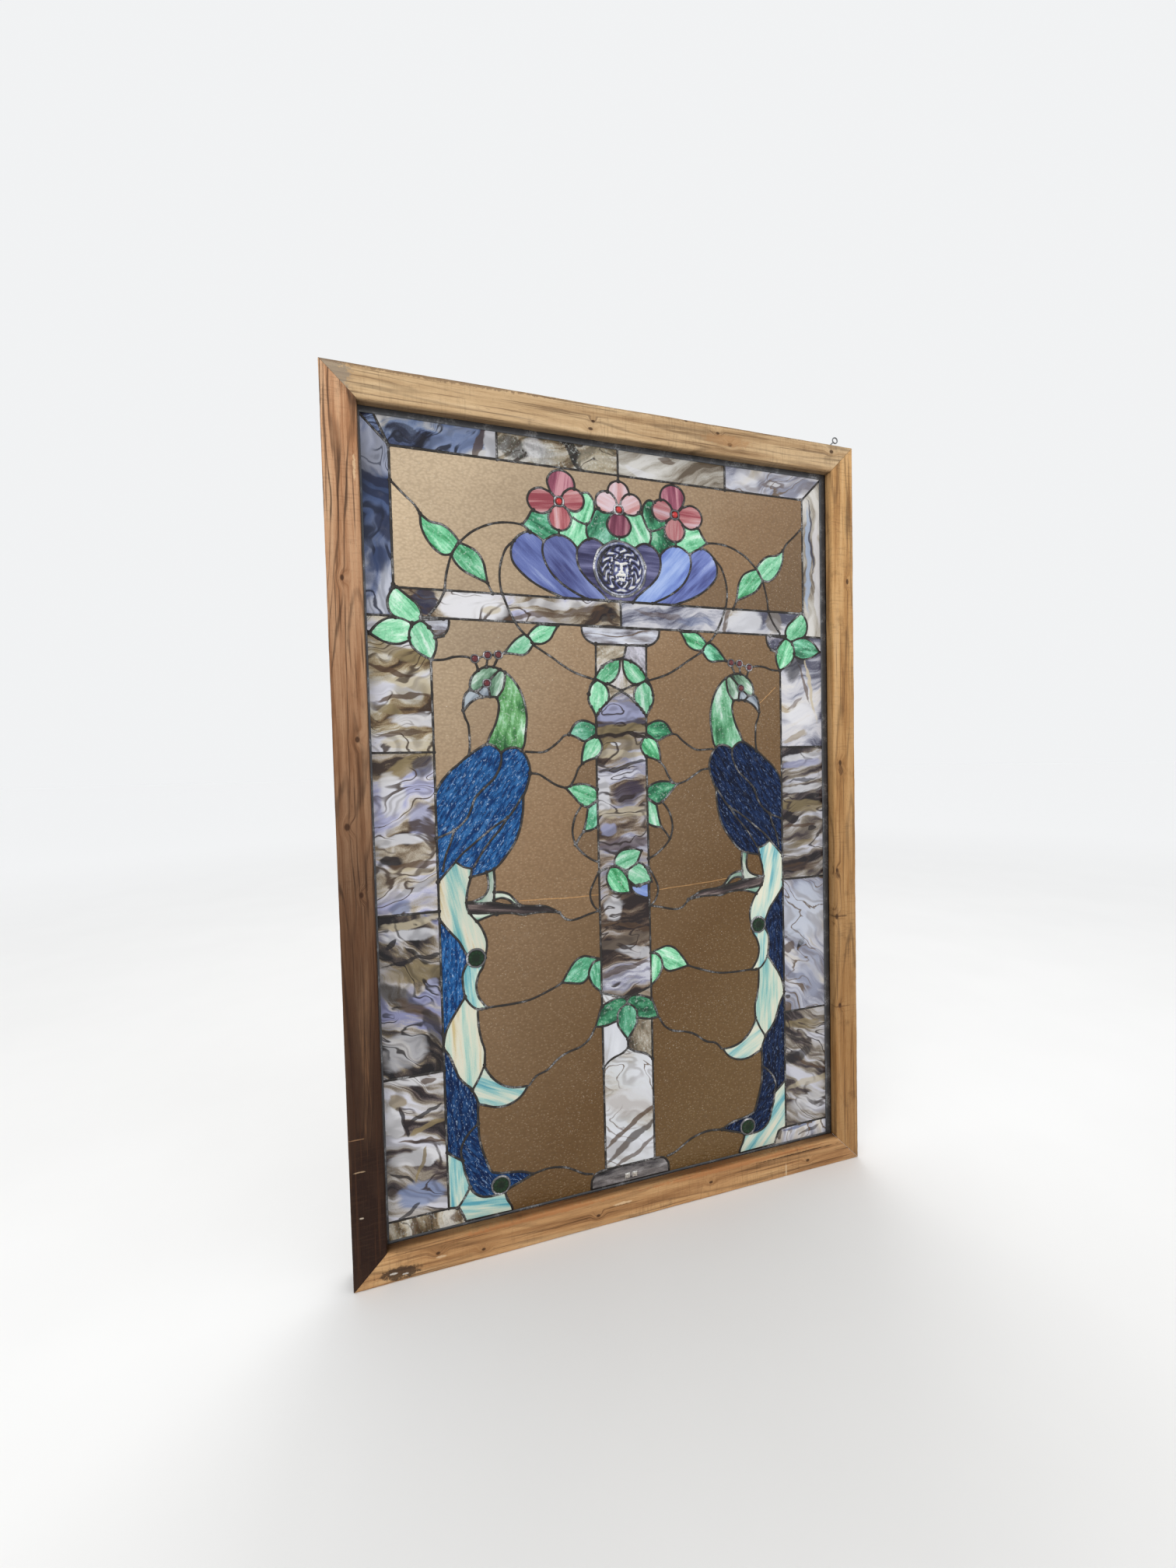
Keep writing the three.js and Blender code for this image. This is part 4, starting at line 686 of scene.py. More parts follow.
groundLeaves = [
    ("leaf mint", "amber_upper", [[283, 1028, 271, 1019, 255, 1016, 243, 1008, 233, 996], [244, 977],
                                  [255, 976, 266, 983, 276, 996, 282, 1011, 283, 1028]]),
    ("leaf leaf", "amber_upper", [[233, 994, 221, 990, 209, 983, 201, 970, 198, 955, 196, 942],
                                  [213, 949, 229, 957, 239, 967, 244, 977], [233, 994]]),
    ("mint leaf", "amber_ground", [[97, 888, 112, 888, 124, 888, 135, 880, 142, 871],
                                   [135, 862, 121, 861, 109, 868, 103, 878, 97, 888]]),
    ("mint teal", "amber_ground", [[175, 846, 166, 858, 157, 867, 146, 873, 138, 867, 134, 859],
                                   [142, 848, 150, 844, 161, 845, 175, 846]]),
    ("teal emerald", "amber_ground", [[82, 731, 74, 745, 64, 751, 53, 750, 40, 744], [40, 731],
                                      [47, 727, 58, 721, 71, 727, 82, 731]]),
    ("mint leaf", "column_shaft", [[42, 727, 54, 722, 59, 714, 62, 700, 63, 688],
                                   [52, 693, 40, 697, 33, 705, 31, 715, 36, 725, 42, 727]]),
    ("leaf emerald", "amber_ground", [[89, 653, 77, 657, 62, 658, 50, 655, 40, 649], [40, 634],
                                      [47, 629, 57, 624, 67, 629, 77, 640, 89, 653]]),
    ("teal mint", "amber_ground", [[40, 632, 55, 622], [58, 605, 62, 588], [52, 589, 40, 594], [40, 632]]),
    ("teal mint", "amber_ground", [[102, 367, 92, 383, 80, 397, 67, 402, 54, 399, 42, 395],
                                   [52, 391, 58, 382, 60, 372], [64, 366, 72, 362, 87, 364, 102, 367]]),
    ("teal leaf", "amber_ground", [[40, 394, 51, 391, 58, 381, 59, 370, 54, 358, 47, 350,
                                    40, 344], [40, 394]]),
]
for side in bothSides:
    for kinds, node, outline in groundLeaves:
        addFigure(node if node == "column_shaft" else f"{node}_{sideNames[side]}", kinds.split()[side > 0],
                  outline, side=side)
shaftLeaves = [
    ("mint", [[28.5, 553, 18, 557, 3, 557, -8, 553, -15, 543, -15, 535],
              [-7, 530, 5, 525, 16, 530, 23, 540, 28.5, 553]]),
    ("leaf", [[-22, 532, -28, 520, -27, 508, -20, 496, -7, 491, 9, 491],
              [8, 500, 6, 510, 0, 522, -10, 530, -22, 532]]),
    ("mint", [[5, 525, 13, 530, 23, 535, 33, 530, 40, 518, 45, 504],
              [33, 503, 20, 500, 11, 506, 5, 513, 5, 525]]),
    ("skyBlue", [[11, 502, 20, 500, 39, 503], [39, 481], [33, 481, 20, 487, 12, 495, 11, 502]]),
]
for kind, outline in shaftLeaves:
    addFigure("column_shaft", kind, outline)

greensOutline = [
    [0, 1058, 30, 1062, 37, 1060, 39, 1072, 47, 1082, 57, 1081], [90, 1066, 132, 1047],
    [138, 1036, 145, 1027], [135, 1019, 120, 1000], [60, 985, 0, 990],
]
addFigure("flower_greens", "leaf", acrossAxis(greensOutline))
greenSeams = [[92, 1026, 92, 1012], [71, 1045, 63, 1040, 50, 1037, 44, 1043, 37, 1060],
              [50, 1037, 51, 1026, 48, 1017]]
for side in bothSides:
    for line in greenSeams:
        addInnerSeam(line, side)
addInnerSeam([0, 1030, 0, 1008], 1)
bowlOutline = [
    [0, 1000, 20, 1006, 33, 1015, 44, 1017, 55, 1012, 65, 1001],
    [74, 1011, 86, 1017, 98, 1017, 108, 1012, 115, 1007],
    [125, 1014, 136, 1018, 147, 1014, 157, 1004, 162, 990, 160, 975, 150, 962, 134, 949, 113, 938, 86, 928],
]
bowlSeams = [[115, 1007, 117, 993, 113, 977, 104, 962, 90, 949, 72, 938, 50, 928],
             [65, 1001, 66, 985, 61, 970, 50, 957, 38, 947, 28, 938, 20, 929]]
for side in bothSides:
    outline = bowlOutline + [[86, 928.5, 0, 928.5]]
    addFigure(f"bowl_{sideNames[side]}", "periwinkle", outline, bowlSeams, side, closed=False)
addFigure("lion_rondel", "periwinkle", circle(drawing["rondel"], drawing["rondelRadius"], 64))
for side in bothSides:
    for turn, length, width, kind in [(98, 45, 41, "rose"), (-3, 46, 36, "salmon"), (168, 38, 33, "salmon"),
                                      (268, 41, 34, "salmon")]:
        addFigure(f"flower_{sideNames[side]}", kind,
                  petal(drawing["sideFlower"], turn, length, width), side=side)
        flowOf[len(figures) - 1] = turn if side > 0 else 180 - turn
    addFigure(f"flower_{sideNames[side]}", "heart",
              circle(drawing["sideFlower"], drawing["heartRadius"], 24), side=side)
for turn, length, width, kind in [(90, 42, 34, "blush"), (25, 38, 32, "blush"), (155, 38, 32, "blush"),
                                  (270, 40, 38, "rose")]:
    addFigure("flower_middle", kind, petal(drawing["middleFlower"], turn, length, width))
    flowOf[len(figures) - 1] = turn
addFigure("flower_middle", "heart", circle(drawing["middleFlower"], drawing["heartRadius"], 24))
capitalOutline = [[0, 889.5, 62, 889.5], [60, 878, 53, 869, 43, 864], [0, 864]]
addFigure("column_capital", "capital", acrossAxis(capitalOutline))
addFigure("column_base", "ink", acrossAxis([[0, 71, 42, 71], [56, 68, 63, 58], [64, 40], [0, 40]]))
wreathOutline = [
    [0, 844, 15, 840, 30, 831, 42, 812], [48, 803, 51, 790, 50, 778, 40, 758],
    [31, 770, 22, 779, 12, 788, 0, 795],
]
addFigure("column_wreath", "dusty", acrossAxis(wreathOutline))
for side in bothSides:
    addInnerSeam([22, 806, 0, 796], side)
    addFigure("column_wreath", "leaf", [[2, 843, 15, 840, 30, 831, 42, 814],
                                        [33, 809, 21, 806, 10, 813, 3.5, 826, 2, 843]], side=side)
    addFigure("column_wreath", "mint", [[38, 811, 47, 803, 51, 790, 51, 779, 45, 768, 40, 758],
                                        [31, 770, 21, 780], [20, 790, 23, 800, 30, 807, 38, 811]], side=side)
lowLeavesOutline = [
    [0, 325, 5, 331, 16, 332, 29, 328, 40, 322, 46, 308, 51, 293], [36, 292, 16, 297],
    [15, 289, 8, 277, 0, 266],
]
addFigure("column_leaves", "mint", acrossAxis(lowLeavesOutline))
for side in bothSides:
    addInnerSeam([16, 297, 15, 308, 9, 316, 0, 321], side)
leafA = [[318, 930, 326, 917, 328, 905, 324, 893, 312, 884, 298, 881, 287, 886],
         [286, 897, 291, 907, 301, 916, 318, 930]]
leafB = [[352, 866, 341, 879, 327, 887, 312, 887, 298, 881], [300, 870, 303, 858],
         [317, 853, 335, 856, 352, 866]]
leafC = [[286, 886, 297, 879, 302, 868, 300, 853, 290, 842, 274, 833],
         [268, 848, 268, 863, 276, 877, 286, 886]]
footPiece = [[257, 889, 250, 889, 251, 877, 257, 868, 269, 863], [276, 877, 286, 886], [257, 889]]
headOutline = [
    [212, 821, 220, 813, 224, 803, 224, 794], [231, 787, 234, 775, 234.5, 763],
    [226, 774, 216, 781, 206, 784, 188, 784], [185, 773, 187, 758, 192, 743, 199, 729, 204, 716],
    [190, 700, 160, 702],
    [151, 716, 148, 735, 146, 752, 147, 768, 151, 785, 158, 800, 168, 813, 179, 821, 192, 826,
     204, 825, 212, 821],
]
headSeams = [[224, 794, 216, 791, 208, 797, 201, 803, 192, 813, 183, 822], [201, 803, 198, 793, 197, 784],
             [217, 793, 212, 788, 208, 783], [175, 819, 176, 807, 179, 795, 186, 785]]
bodyOutline = [
    [275, 652, 266, 668, 254, 682, 243, 691, 230, 702, 215, 712, 203, 718, 192, 714, 184, 706],
    [176, 711, 165, 713, 155, 709, 147, 697, 143, 683, 144, 671, 149, 655, 154, 643],
    [155, 625, 158, 605, 165, 584, 176, 566, 190, 549, 200, 541], [213, 537, 228, 534],
    [240, 530, 262, 525, 275, 528],
]
bodySeams = [
    [184, 706, 184, 694, 188, 682, 194, 671, 203, 662, 213, 653, 222, 643, 227, 630, 233, 617, 243, 606,
     255, 598, 275, 590],
    [252, 599, 257, 582, 263, 568, 267, 552, 268, 543],
    [154, 646, 163, 632, 173, 618, 182, 611, 195, 603, 210, 592, 225, 580, 240, 568, 251, 557],
    [178, 613, 188, 598, 200, 585, 212, 570, 221, 556, 227, 546],
]
trainOutline = [
    [275, 530, 265, 541, 251, 556], [240, 548, 229, 545],
    [232, 530, 236, 515, 238, 500, 237, 489, 231, 478, 223, 468, 216, 455, 212, 442, 212, 430, 215, 418,
     218, 405, 224, 395, 228, 380, 226, 365, 220, 354, 213, 345],
    [220, 345, 227, 345], [227, 335, 226, 318, 223, 300, 219, 285, 220, 262],
    [213, 249, 205, 239, 194, 230, 182, 225, 170, 223, 159, 223],
    [167, 212, 178, 204, 192, 200, 207, 201, 220, 206, 230, 210],
    [231, 200, 231, 180, 230, 160, 227, 145, 222, 128, 217, 113, 213, 107],
    [200, 103, 185, 101, 170, 98, 155, 91],
    [170, 85, 185, 80, 196, 75], [196, 73, 193, 62, 187, 50, 186, 40], [253, 40],
    [253, 48, 257, 58, 262, 67, 275, 70],
]
trainSeams = [
    [275, 478, 268, 468, 258, 455, 250, 445, 244, 433, 239, 422], [238.5, 414, 246, 398, 246, 380, 244, 365],
    [244, 365, 238, 355, 230, 347, 222, 345], [244, 365, 254, 350, 265, 333, 272, 317, 275, 300],
    [275, 298, 267, 284, 261, 268, 256, 254, 248, 243, 240, 235, 237, 230], [221, 262, 228, 247, 238, 231],
    [238, 231, 233, 220, 230, 210], [231, 182, 244, 171, 253, 158, 256, 145, 254, 133],
    [[275, 150, 266, 142, 254, 133], [252, 118, 248, 105, 245, 93],
     [240, 84, 230, 76, 218, 73, 204, 73, 196, 74]],
]
for side in bothSides:
    name = sideNames[side]
    for kinds, outline in (("capital plum", footPiece), ("mint mint", leafA), ("mint teal", leafB),
                           ("mint leaf", leafC)):
        addFigure(f"corner_leaves_{name}", kinds.split()[side > 0], outline, side=side)
    addFigure(f"peacock_head_{name}", "neck" if side < 0 else "neckPale", headOutline, headSeams, side)
    addFigure(f"peacock_body_{name}", "blue" if side < 0 else "navy", bodyOutline, bodySeams,
              side, closed=False)
    extra = [[245, 93, 253, 80, 262, 68]] if side < 0 else []
    addFigure(f"peacock_train_{name}", "cream", trainOutline, trainSeams + extra, side, closed=False)
    for number, middle in enumerate(drawing["roundels"], 1):
        addFigure(f"roundel_{name}_{number}", "roundel",
                  circle(middle, drawing["roundelRadius"], 30), side=side)

# Panes whose glass differs from their figure's or field's: a spot on the pane, and its glass; side 0 is both
paneSeeds = [
    (0, 210, 812, "crown"), (0, 190, 797, "crown"), (0, 222, 781, "beak"), (0, 206, 789, "beak"),
    (-1, 262, 400, "blue"), (1, 262, 400, "navy"), (0, 234, 385, "aqua"), (-1, 266, 220, "deep"),
    (1, 266, 220, "navy"), (0, 200, 214, "aqua"), (-1, 238, 130, "deep"), (1, 238, 130, "navy"),
    (0, 264, 110, "aqua"), (0, 225, 58, "aqua"), (1, 252, 520, "aqua"), (0, 204, 520, "claw"),
    (0, 183, 500, "claw"), (0, 150, 480, "twig"), (0, 218, 487, "twig"), (0, 215, 479, "claw"),
    (1, 20, 855, "plum"), (-1, 20, 855, "dusty"), (-1, 12, 262, "white"), (1, 12, 262, "dusty"),
    (-1, 30, 315, "emerald"), (1, 30, 315, "emerald"), (0, 3, 290, "teal"), (-1, 25, 1040, "teal"),
    (1, 25, 1040, "mint"), (-1, 120, 1035, "teal"), (1, 120, 1035, "mint"), (-1, 75, 1030, "mint"),
    (1, 75, 1030, "emerald"), (-1, 45, 1060, "mint"), (1, 45, 1060, "teal"), (-1, 60, 1025, "mint"),
    (1, 60, 1025, "emerald"), (-1, 85, 985, "dusk"), (1, 88, 985, "skyBlue"), (0, 45, 990, "slate"),
]
print("drawing laid out:", len(figures), "figures")

# Seams: every line of the drawing, hidden where a later figure lies over it
seams = []
outlines = [figure["outline"] for figure in figures]


def addSeam(line, level, nudge=0.0):
    tested = line + np.column_stack([np.sign(line[:, 0] - axisX) * nudge, np.zeros(len(line))])
    hidden = np.zeros(len(line), bool)
    for outline in outlines[level:]:
        near = (outline.min(0) - 1 < tested).all(1) & (tested < outline.max(0) + 1).all(1)
        if near.any():
            hidden[near] |= within(outline, tested[near])
    start = None
    for index in range(len(line) + 1):
        shown = index < len(line) and not hidden[index]
        if shown and start is None:
            start = index
        if not shown and start is not None:
            piece = line[max(start - 1, 0):min(index + 1, len(line))]
            if len(piece) > 1:
                seams.append(piece)
            start = None


for side in bothSides:
    for line in straightSeams:
        addSeam(placed(walk([line]), side), 0, 0.6)
    for line in vines:
        addSeam(placed(walk([line]), side), 0)
for line in middleSeams:
    addSeam(placed(walk([line]), 1), 0)
addSeam(placed(walk([[upperSide, topBand, 338, cornerTop]]), -1), 0)
for level, figure in enumerate(figures, 1):
    line = figure["outline"]
    addSeam(np.vstack([line, line[:1]]) if figure["closed"] else line, level)
    for inner in figure["seams"]:
        addSeam(inner, level)

# The panes: the sheet cut along every seam
underCame, margin = 2, 6
left, right = sight[0] - underCame, sight[1] + underCame
bottom, top = sight[2] - underCame, sight[3] + underCame
sheetCorners = [[left, bottom], [right, bottom], [right, top], [left, top], [left, bottom]]
sheetEdge = np.vstack([walk([[a, b]], 12)[:-1] for a, b in zip(sheetCorners, sheetCorners[1:])])
corners, edges = [], []


def lengthened(line, reach=3.2):
    # a seam run on a little past both ends, so that the cut meets the next seam
    if np.linalg.norm(line[0] - line[-1]) < 0.1:
        return line
    first, last = line[0] - line[min(2, len(line) - 1)], line[-1] - line[max(-3, -len(line))]
    return np.vstack([line[0] + first / np.linalg.norm(first) * reach, line,
                      line[-1] + last / np.linalg.norm(last) * reach])


for line in [lengthened(seam) for seam in seams] + [np.vstack([sheetEdge, sheetEdge[:1]])]:
    inside = (line[:, 0] > left - margin) & (line[:, 0] < right + margin)
    inside &= (line[:, 1] > bottom - 2 * margin) & (line[:, 1] < top + margin)
    for index in range(len(line) - 1):
        if inside[index] and inside[index + 1]:
            edges.append((len(corners), len(corners) + 1))
            corners += [line[index], line[index + 1]]
cut = geometry.delaunay_2d_cdt([Vector(corner) for corner in corners], edges, [], 0, 0.02)
cutPoints, cutEdges, triangles, _, edgeSources, _ = cut
cutPoints = np.array([tuple(p) for p in cutPoints])
walls = {tuple(sorted(edge)) for edge, source in zip(cutEdges, edgeSources) if source}
byEdge = {}
for index, triangle in enumerate(triangles):
    for k in range(3):
        byEdge.setdefault(tuple(sorted((triangle[k], triangle[(k + 1) % 3]))), []).append(index)
middles = cutPoints[np.array(triangles)].mean(axis=1)
a, b, c = [cutPoints[np.array(triangles)[:, k]] for k in range(3)]
areas = ((b[:, 0] - a[:, 0]) * (c[:, 1] - a[:, 1]) - (b[:, 1] - a[:, 1]) * (c[:, 0] - a[:, 0])) / 2
onSheet = (middles[:, 0] > left) & (middles[:, 0] < right) & (middles[:, 1] > bottom) & (middles[:, 1] < top)
regionOf = [-1] * len(triangles)
regions = []
for first in range(len(triangles)):
    if regionOf[first] >= 0 or not onSheet[first]:
        continue
    regionOf[first] = len(regions)
    queue, found = [first], []
    while queue:
        index = queue.pop()
        found.append(index)
        triangle = triangles[index]
        for k in range(3):
            edge = tuple(sorted((triangle[k], triangle[(k + 1) % 3])))
            if edge in walls:
                continue
            for other in byEdge[edge]:
                if regionOf[other] < 0 and onSheet[other]:
                    regionOf[other] = len(regions)
                    queue.append(other)
    regions.append(found)
print("panes cut:", len(regions))


def zoneOf(x, z):
    # the part of the field or border that holds a spot outside every figure, and its glass
    off, name = abs(x - axisX), sideNames[-1 if x < axisX else 1]
    if z > topBand and off < upperSide + (z - topBand):
        inner = off < topSplit
        return (f"border_top_inner_{name}", "top1") if inner else (f"border_top_outer_{name}", "top2")
    if z > upperFoot:
        if off > upperSide:
            return f"border_upper_{name}", "upper"
        crown = off < drawing["crownSide"] and z > drawing["crownFoot"]
        return f"amber_crown_{name}" if crown else f"amber_upper_{name}", "amber"
    if z > bandFoot:
        return f"band_{name}", "band"
    if off > sideLine or (z < footTop and off > drawing["footSide"]):
        step = 1 + sum(z <= height for height in drawing["sideSplits"])
        return f"border_side_{step}_{name}", "foot" if z < footTop else f"side{step}"
    if abs(x - axisX + columnShift["by"]) < columnSide + 1:
        if z > drawing["neckFoot"]:
            return "column_neck", "neckGlass"
        return ("column_shaft", "shaft") if z > drawing["shaftFoot"] else ("column_foot", "lowShaft")
    return f"amber_ground_{name}", "amber"


sheets = {}
for found in regions:
    area = abs(areas[found]).sum()
    if area < 3:
        continue
    spot = middles[max(found, key=lambda index: abs(areas[index]))]
    node, kind = zoneOf(*spot)
    turn = None
    for number, figure in enumerate(figures):
        if within(figure["outline"], spot[None])[0]:
            node, kind, turn = figure["node"], figure["kind"], flowOf.get(number)
    if kind in ("heart", "roundel") or node == "lion_rondel":
        continue
    corner = cutPoints[np.array([triangles[index] for index in found])]
    for side, r, z, other in paneSeeds:
        for half in ((side,) if side else bothSides):
            point = placed([[r, z]], half)[0]
            u, v, w = [corner[:, k] - point for k in range(3)]
            turns = np.array([u[:, 0] * v[:, 1] - u[:, 1] * v[:, 0], v[:, 0] * w[:, 1] - v[:, 1] * w[:, 0],
                              w[:, 0] * u[:, 1] - w[:, 1] * u[:, 0]])
            if ((turns > 0).all(0) | (turns < 0).all(0)).any():
                kind = other
    sheets.setdefault((node, kind), []).append((found, turn))

# Which glass each field pane is cut from, left and right
fieldGlass = {
    "top1": ("sandTop", "greyTop"), "top2": ("nightTop", "paleTop"), "upper": ("lilac", "ashUpper"),
    "band": ("bandLeft", "bandRight"), "side1": ("curlsLeft", "curlsRight"),
    "side2": ("mistLeft", "mistRight"), "side3": ("stormLeft", "stormRight"),
    "side4": ("foldLeft", "foldRight"), "foot": ("footLeft", "footRight"), "neckGlass": ("plum", "plum"),
    "shaft": ("shaft", "shaft"), "lowShaft": ("lowShaft", "lowShaft"),
}
baseKind = {
    "sandTop": "sand", "greyTop": "ash", "nightTop": "nightCloud", "paleTop": "pearl", "ashUpper": "ash",
    "bandLeft": "mist", "bandRight": "cloud", "curlsLeft": "curls", "curlsRight": "cloud",
    "mistLeft": "mist", "mistRight": "fold", "stormLeft": "storm", "stormRight": "pearl", "foldLeft": "fold",
    "foldRight": "fold", "footLeft": "sand", "footRight": "pearl", "lowShaft": "marble",
}
# Which way each field pane's streaks run, in degrees
flowTurn = {"top1": 20, "top2": 20, "upper": 88, "band": 10, "side1": 15, "side2": 20,
            "side3": -35, "side4": -20, "foot": 90, "shaft": 5, "lowShaft": -25, "amber": 0}
finishes = {}


def glassFor(kind, x):
    name = fieldGlass[kind][0 if x < axisX else 1] if kind in fieldGlass else kind
    if name not in finishes:
        title = name[0].upper() + name[1:]
        finishes[name] = madeGlass(baseKind.get(name, name), title, paneMarks.get(title, ()))
    return finishes[name]


mostLift = 0.3
for (node, kind), group in sorted(sheets.items()):
    points, faces, flow, tone = [], [], [], []
    for found, turn in group:
        used = sorted({corner for index in found for corner in triangles[index]})
        order = {corner: k for k, corner in enumerate(used)}
        flat = cutPoints[used]
        centre = flat.mean(0)
        across = flat - centre
        if turn is not None or kind in flowTurn:
            angle = math.radians((flowTurn[kind] if turn is None else turn) + chance.uniform(-6, 6))
            along = np.array([math.cos(angle), math.sin(angle)])
        else:
            # no figure or field gives the way of the streaks, so they run along the pane
            along = np.linalg.svd(across, full_matrices=False)[2][0] if len(flat) > 3 else np.array([0, 1])
        steep = 0.0015 if kind == "amber" else 0.004
        tilt = np.array([chance.uniform(-1, 1), chance.uniform(-1, 1)]) * steep
        lift = np.clip(across @ tilt, -mostLift, mostLift)
        seed = [chance.uniform(0, 4) for _ in range(3)]
        aside = np.array([-along[1], along[0]])
        drawn = np.column_stack([across @ along * mm + seed[0], across @ aside * mm + seed[1],
                                 np.full(len(flat), seed[2])])
        start, count = len(points), len(flat)
        for face in (-halfGlass, halfGlass):
            points += [(x, face + rise, z) for (x, z), rise in zip(flat, lift)]
        flow += drawn.tolist() * 2
        tone += [chance.uniform(-1, 1)] * (2 * count)
        ring = {}
        for index in found:
            i, j, k = [order[corner] for corner in triangles[index]]
            if areas[index] < 0:
                j, k = k, j
            faces += [(start + i, start + j, start + k),
                      (start + count + k, start + count + j, start + count + i)]
            for one, two in ((i, j), (j, k), (k, i)):
                ring[(one, two)] = True
        for one, two in ring:
            if (two, one) not in ring:
                faces.append((start + two, start + one, start + count + one, start + count + two))
    words = node.split("_") + ([kind] if (node, kind) != (node, "amber") else [])
    name = words[0] + "".join(word[0].upper() + word[1:] for word in words[1:])
    covered = [node, node.replace("upper", "crown")] if node.startswith("amber_upper") else node
    finish = glassFor(kind, sum(point[0] for point in points) / len(points))
    piece = madeMesh(name, points, faces, finish, covered, smooth=False)
    marked(piece, "flow", flow, "FLOAT_VECTOR")
    marked(piece, "tone", tone)
print("panes made:", len(sheets))

# Leads: half-round seams of solder over both faces
seamShape = {"halfWidth": 1.75, "height": 0.95, "unevenWidth": 0.16, "unevenHeight": 0.35, "underCame": 1.5}
leadFinish = madeLead("leadSeam", (0.030, 0.027, 0.025, 1), (0.52, 0.52, 0.53, 1), 0.75)
cameFinish = madeLead("cameMetal", (0.055, 0.056, 0.060, 1), (0.34, 0.35, 0.37, 1), 0.6)


def sweptSeams(name, front, section):
    points, faces, crest, tuck = [], [], [], seamShape["underCame"]
    for number, line in enumerate(seams):
        inside = (line[:, 0] > sight[0] - tuck) & (line[:, 0] < sight[1] + tuck)
        line = line[inside & (line[:, 1] > sight[2] - tuck) & (line[:, 1] < sight[3] + tuck)]
        if len(line) < 2:
            continue
        onward = np.gradient(line, axis=0)
        onward /= np.maximum(np.linalg.norm(onward, axis=1), 1e-9)[:, None]
        aside = np.column_stack([-onward[:, 1], onward[:, 0]])
        start = len(points)
        for index, ((x, z), (sx, sz)) in enumerate(zip(line, aside)):
            widening = jitter(x, z, number, 0.11) + jitter(x, z, 7, 0.35)
            rising = jitter(x, z, 3, 0.16) + 0.6 * jitter(x, z, 9, 0.5)
            wide = seamShape["halfWidth"] * (1 + seamShape["unevenWidth"] * widening)
            tall = seamShape["height"] * (1 + seamShape["unevenHeight"] * rising)
            for t, h in section:
                y = -halfGlass - tall * h if front else halfGlass + tall * h
                points.append((x + sx * wide * t, y, z + sz * wide * t))
                crest.append(max(h, 0))
        wide = len(section)
        for index in range(len(line) - 1):
            for k in range(wide - 1):
                p = start + index * wide + k
                quad = (p, p + 1, p + wide + 1, p + wide)
                faces.append(quad if front else quad[::-1])
    marked(madeMesh(name, points, faces, leadFinish, "solder_net"), "crest", crest)


sweptSeams("seamsFront", True, [(1.0, -0.35), (0.82, 0.52), (0.32, 0.95), (-0.32, 0.95), (-0.82, 0.52),
                                (-1.0, -0.35)])
sweptSeams("seamsBack", False, [(1.0, -0.35), (0.5, 0.85), (-0.5, 0.85), (-1.0, -0.35)])

# Blobs of solder where seams meet: rings are (spread, height) from the top down
jointShape = {
    "size": 2.5, "uneven": 1.8, "top": 1.25, "sides": 12,
    "apart": 4, "rings": ((0.45, 1.1), (0.8, 0.75), (1.05, -0.3)),
}
meeting = {}
for one, two in walls:
    meeting.setdefault(one, []).append(two)
    meeting.setdefault(two, []).append(one)
blobs = []
for corner, others in meeting.items():
    x, z = cutPoints[corner]
    if len(others) > 2 and sight[0] < x < sight[1] and sight[2] < z < sight[3]:
        if all((x - bx) ** 2 + (z - bz) ** 2 > jointShape["apart"] ** 2 for bx, bz in blobs):
            blobs.append((x, z))
points, faces, crest, sides = [], [], [], jointShape["sides"]
for number, (x, z) in enumerate(blobs):
    size = jointShape["size"] + jointShape["uneven"] * abs(jitter(x, z, 1, 0.7))
    for facing in (-1, 1):
        start = len(points)
        points.append((x, facing * (halfGlass + jointShape["top"]), z))
        crest.append(1)
        for spread, height in jointShape["rings"]:
            for k in range(sides):
                turn = 2 * math.pi * k / sides
                wander = jitter(x + 5 * math.cos(turn), z + 5 * math.sin(turn), number, 0.2)
                out = size * spread * (1 + 0.25 * wander)
                points.append((x + out * math.cos(turn), facing * (halfGlass + height),
                               z + out * math.sin(turn)))
                crest.append(max(height / jointShape["top"], 0))
        for k in range(sides):
            after = (k + 1) % sides
            fan = (start, start + 1 + k, start + 1 + after)
            faces.append(fan if facing < 0 else fan[::-1])
            for ring in range(len(jointShape["rings"]) - 1):
                p = start + 1 + ring * sides
                quad = (p + k, p + sides + k, p + sides + after, p + after)
                faces.append(quad if facing < 0 else quad[::-1])
marked(madeMesh("seamJoints", points, faces, leadFinish, "solder_net"), "crest", crest)
print("seams made:", len(seams), "joints:", len(blobs))


def sweptBoard(name, start, end, inward, profile, finish, node, gap=5.0, trim=0.0,
               wobble=0.0, seed=0, dents=()):
    # a mitred length: profile points are (how far in from the outer edge, depth), round the section
    start, end, inward = [np.array(p, float) for p in (start, end, inward)]
    length = np.linalg.norm(end - start)
    along = (end - start) / length
    count = max(2, int(length / gap))
    points = []
    for index in range(count + 1):
        share = index / count
        for f, y in profile:
            t = trim + f + share * (length - 2 * (trim + f))
            wander = wobble * jitter(t, f * 0.7, y + seed * 31, 0.012)
            wander += wobble * 0.5 * jitter(t, f, y + seed * 17, 0.09)
            worn = 0.0
            for place, depth, spread, at in dents:
                # dents only reach the front face
                worn += depth * math.exp(-((t - place) / spread) ** 2 - ((f - at) / 6) ** 2) * (y < -15)
            off = f + wander * (0.6 if f > 1 else 1.0)
            spot = start + along * t + inward * max(off, 0.0)
            points.append((spot[0], y + wander * 0.5 + worn, spot[1]))
    piece = madeMesh(name, points, tubeFaces(count + 1, len(profile)), finish, node)
    facedOut(piece)
    piece.data.set_sharp_from_angle(angle=math.radians(50))
    return piece


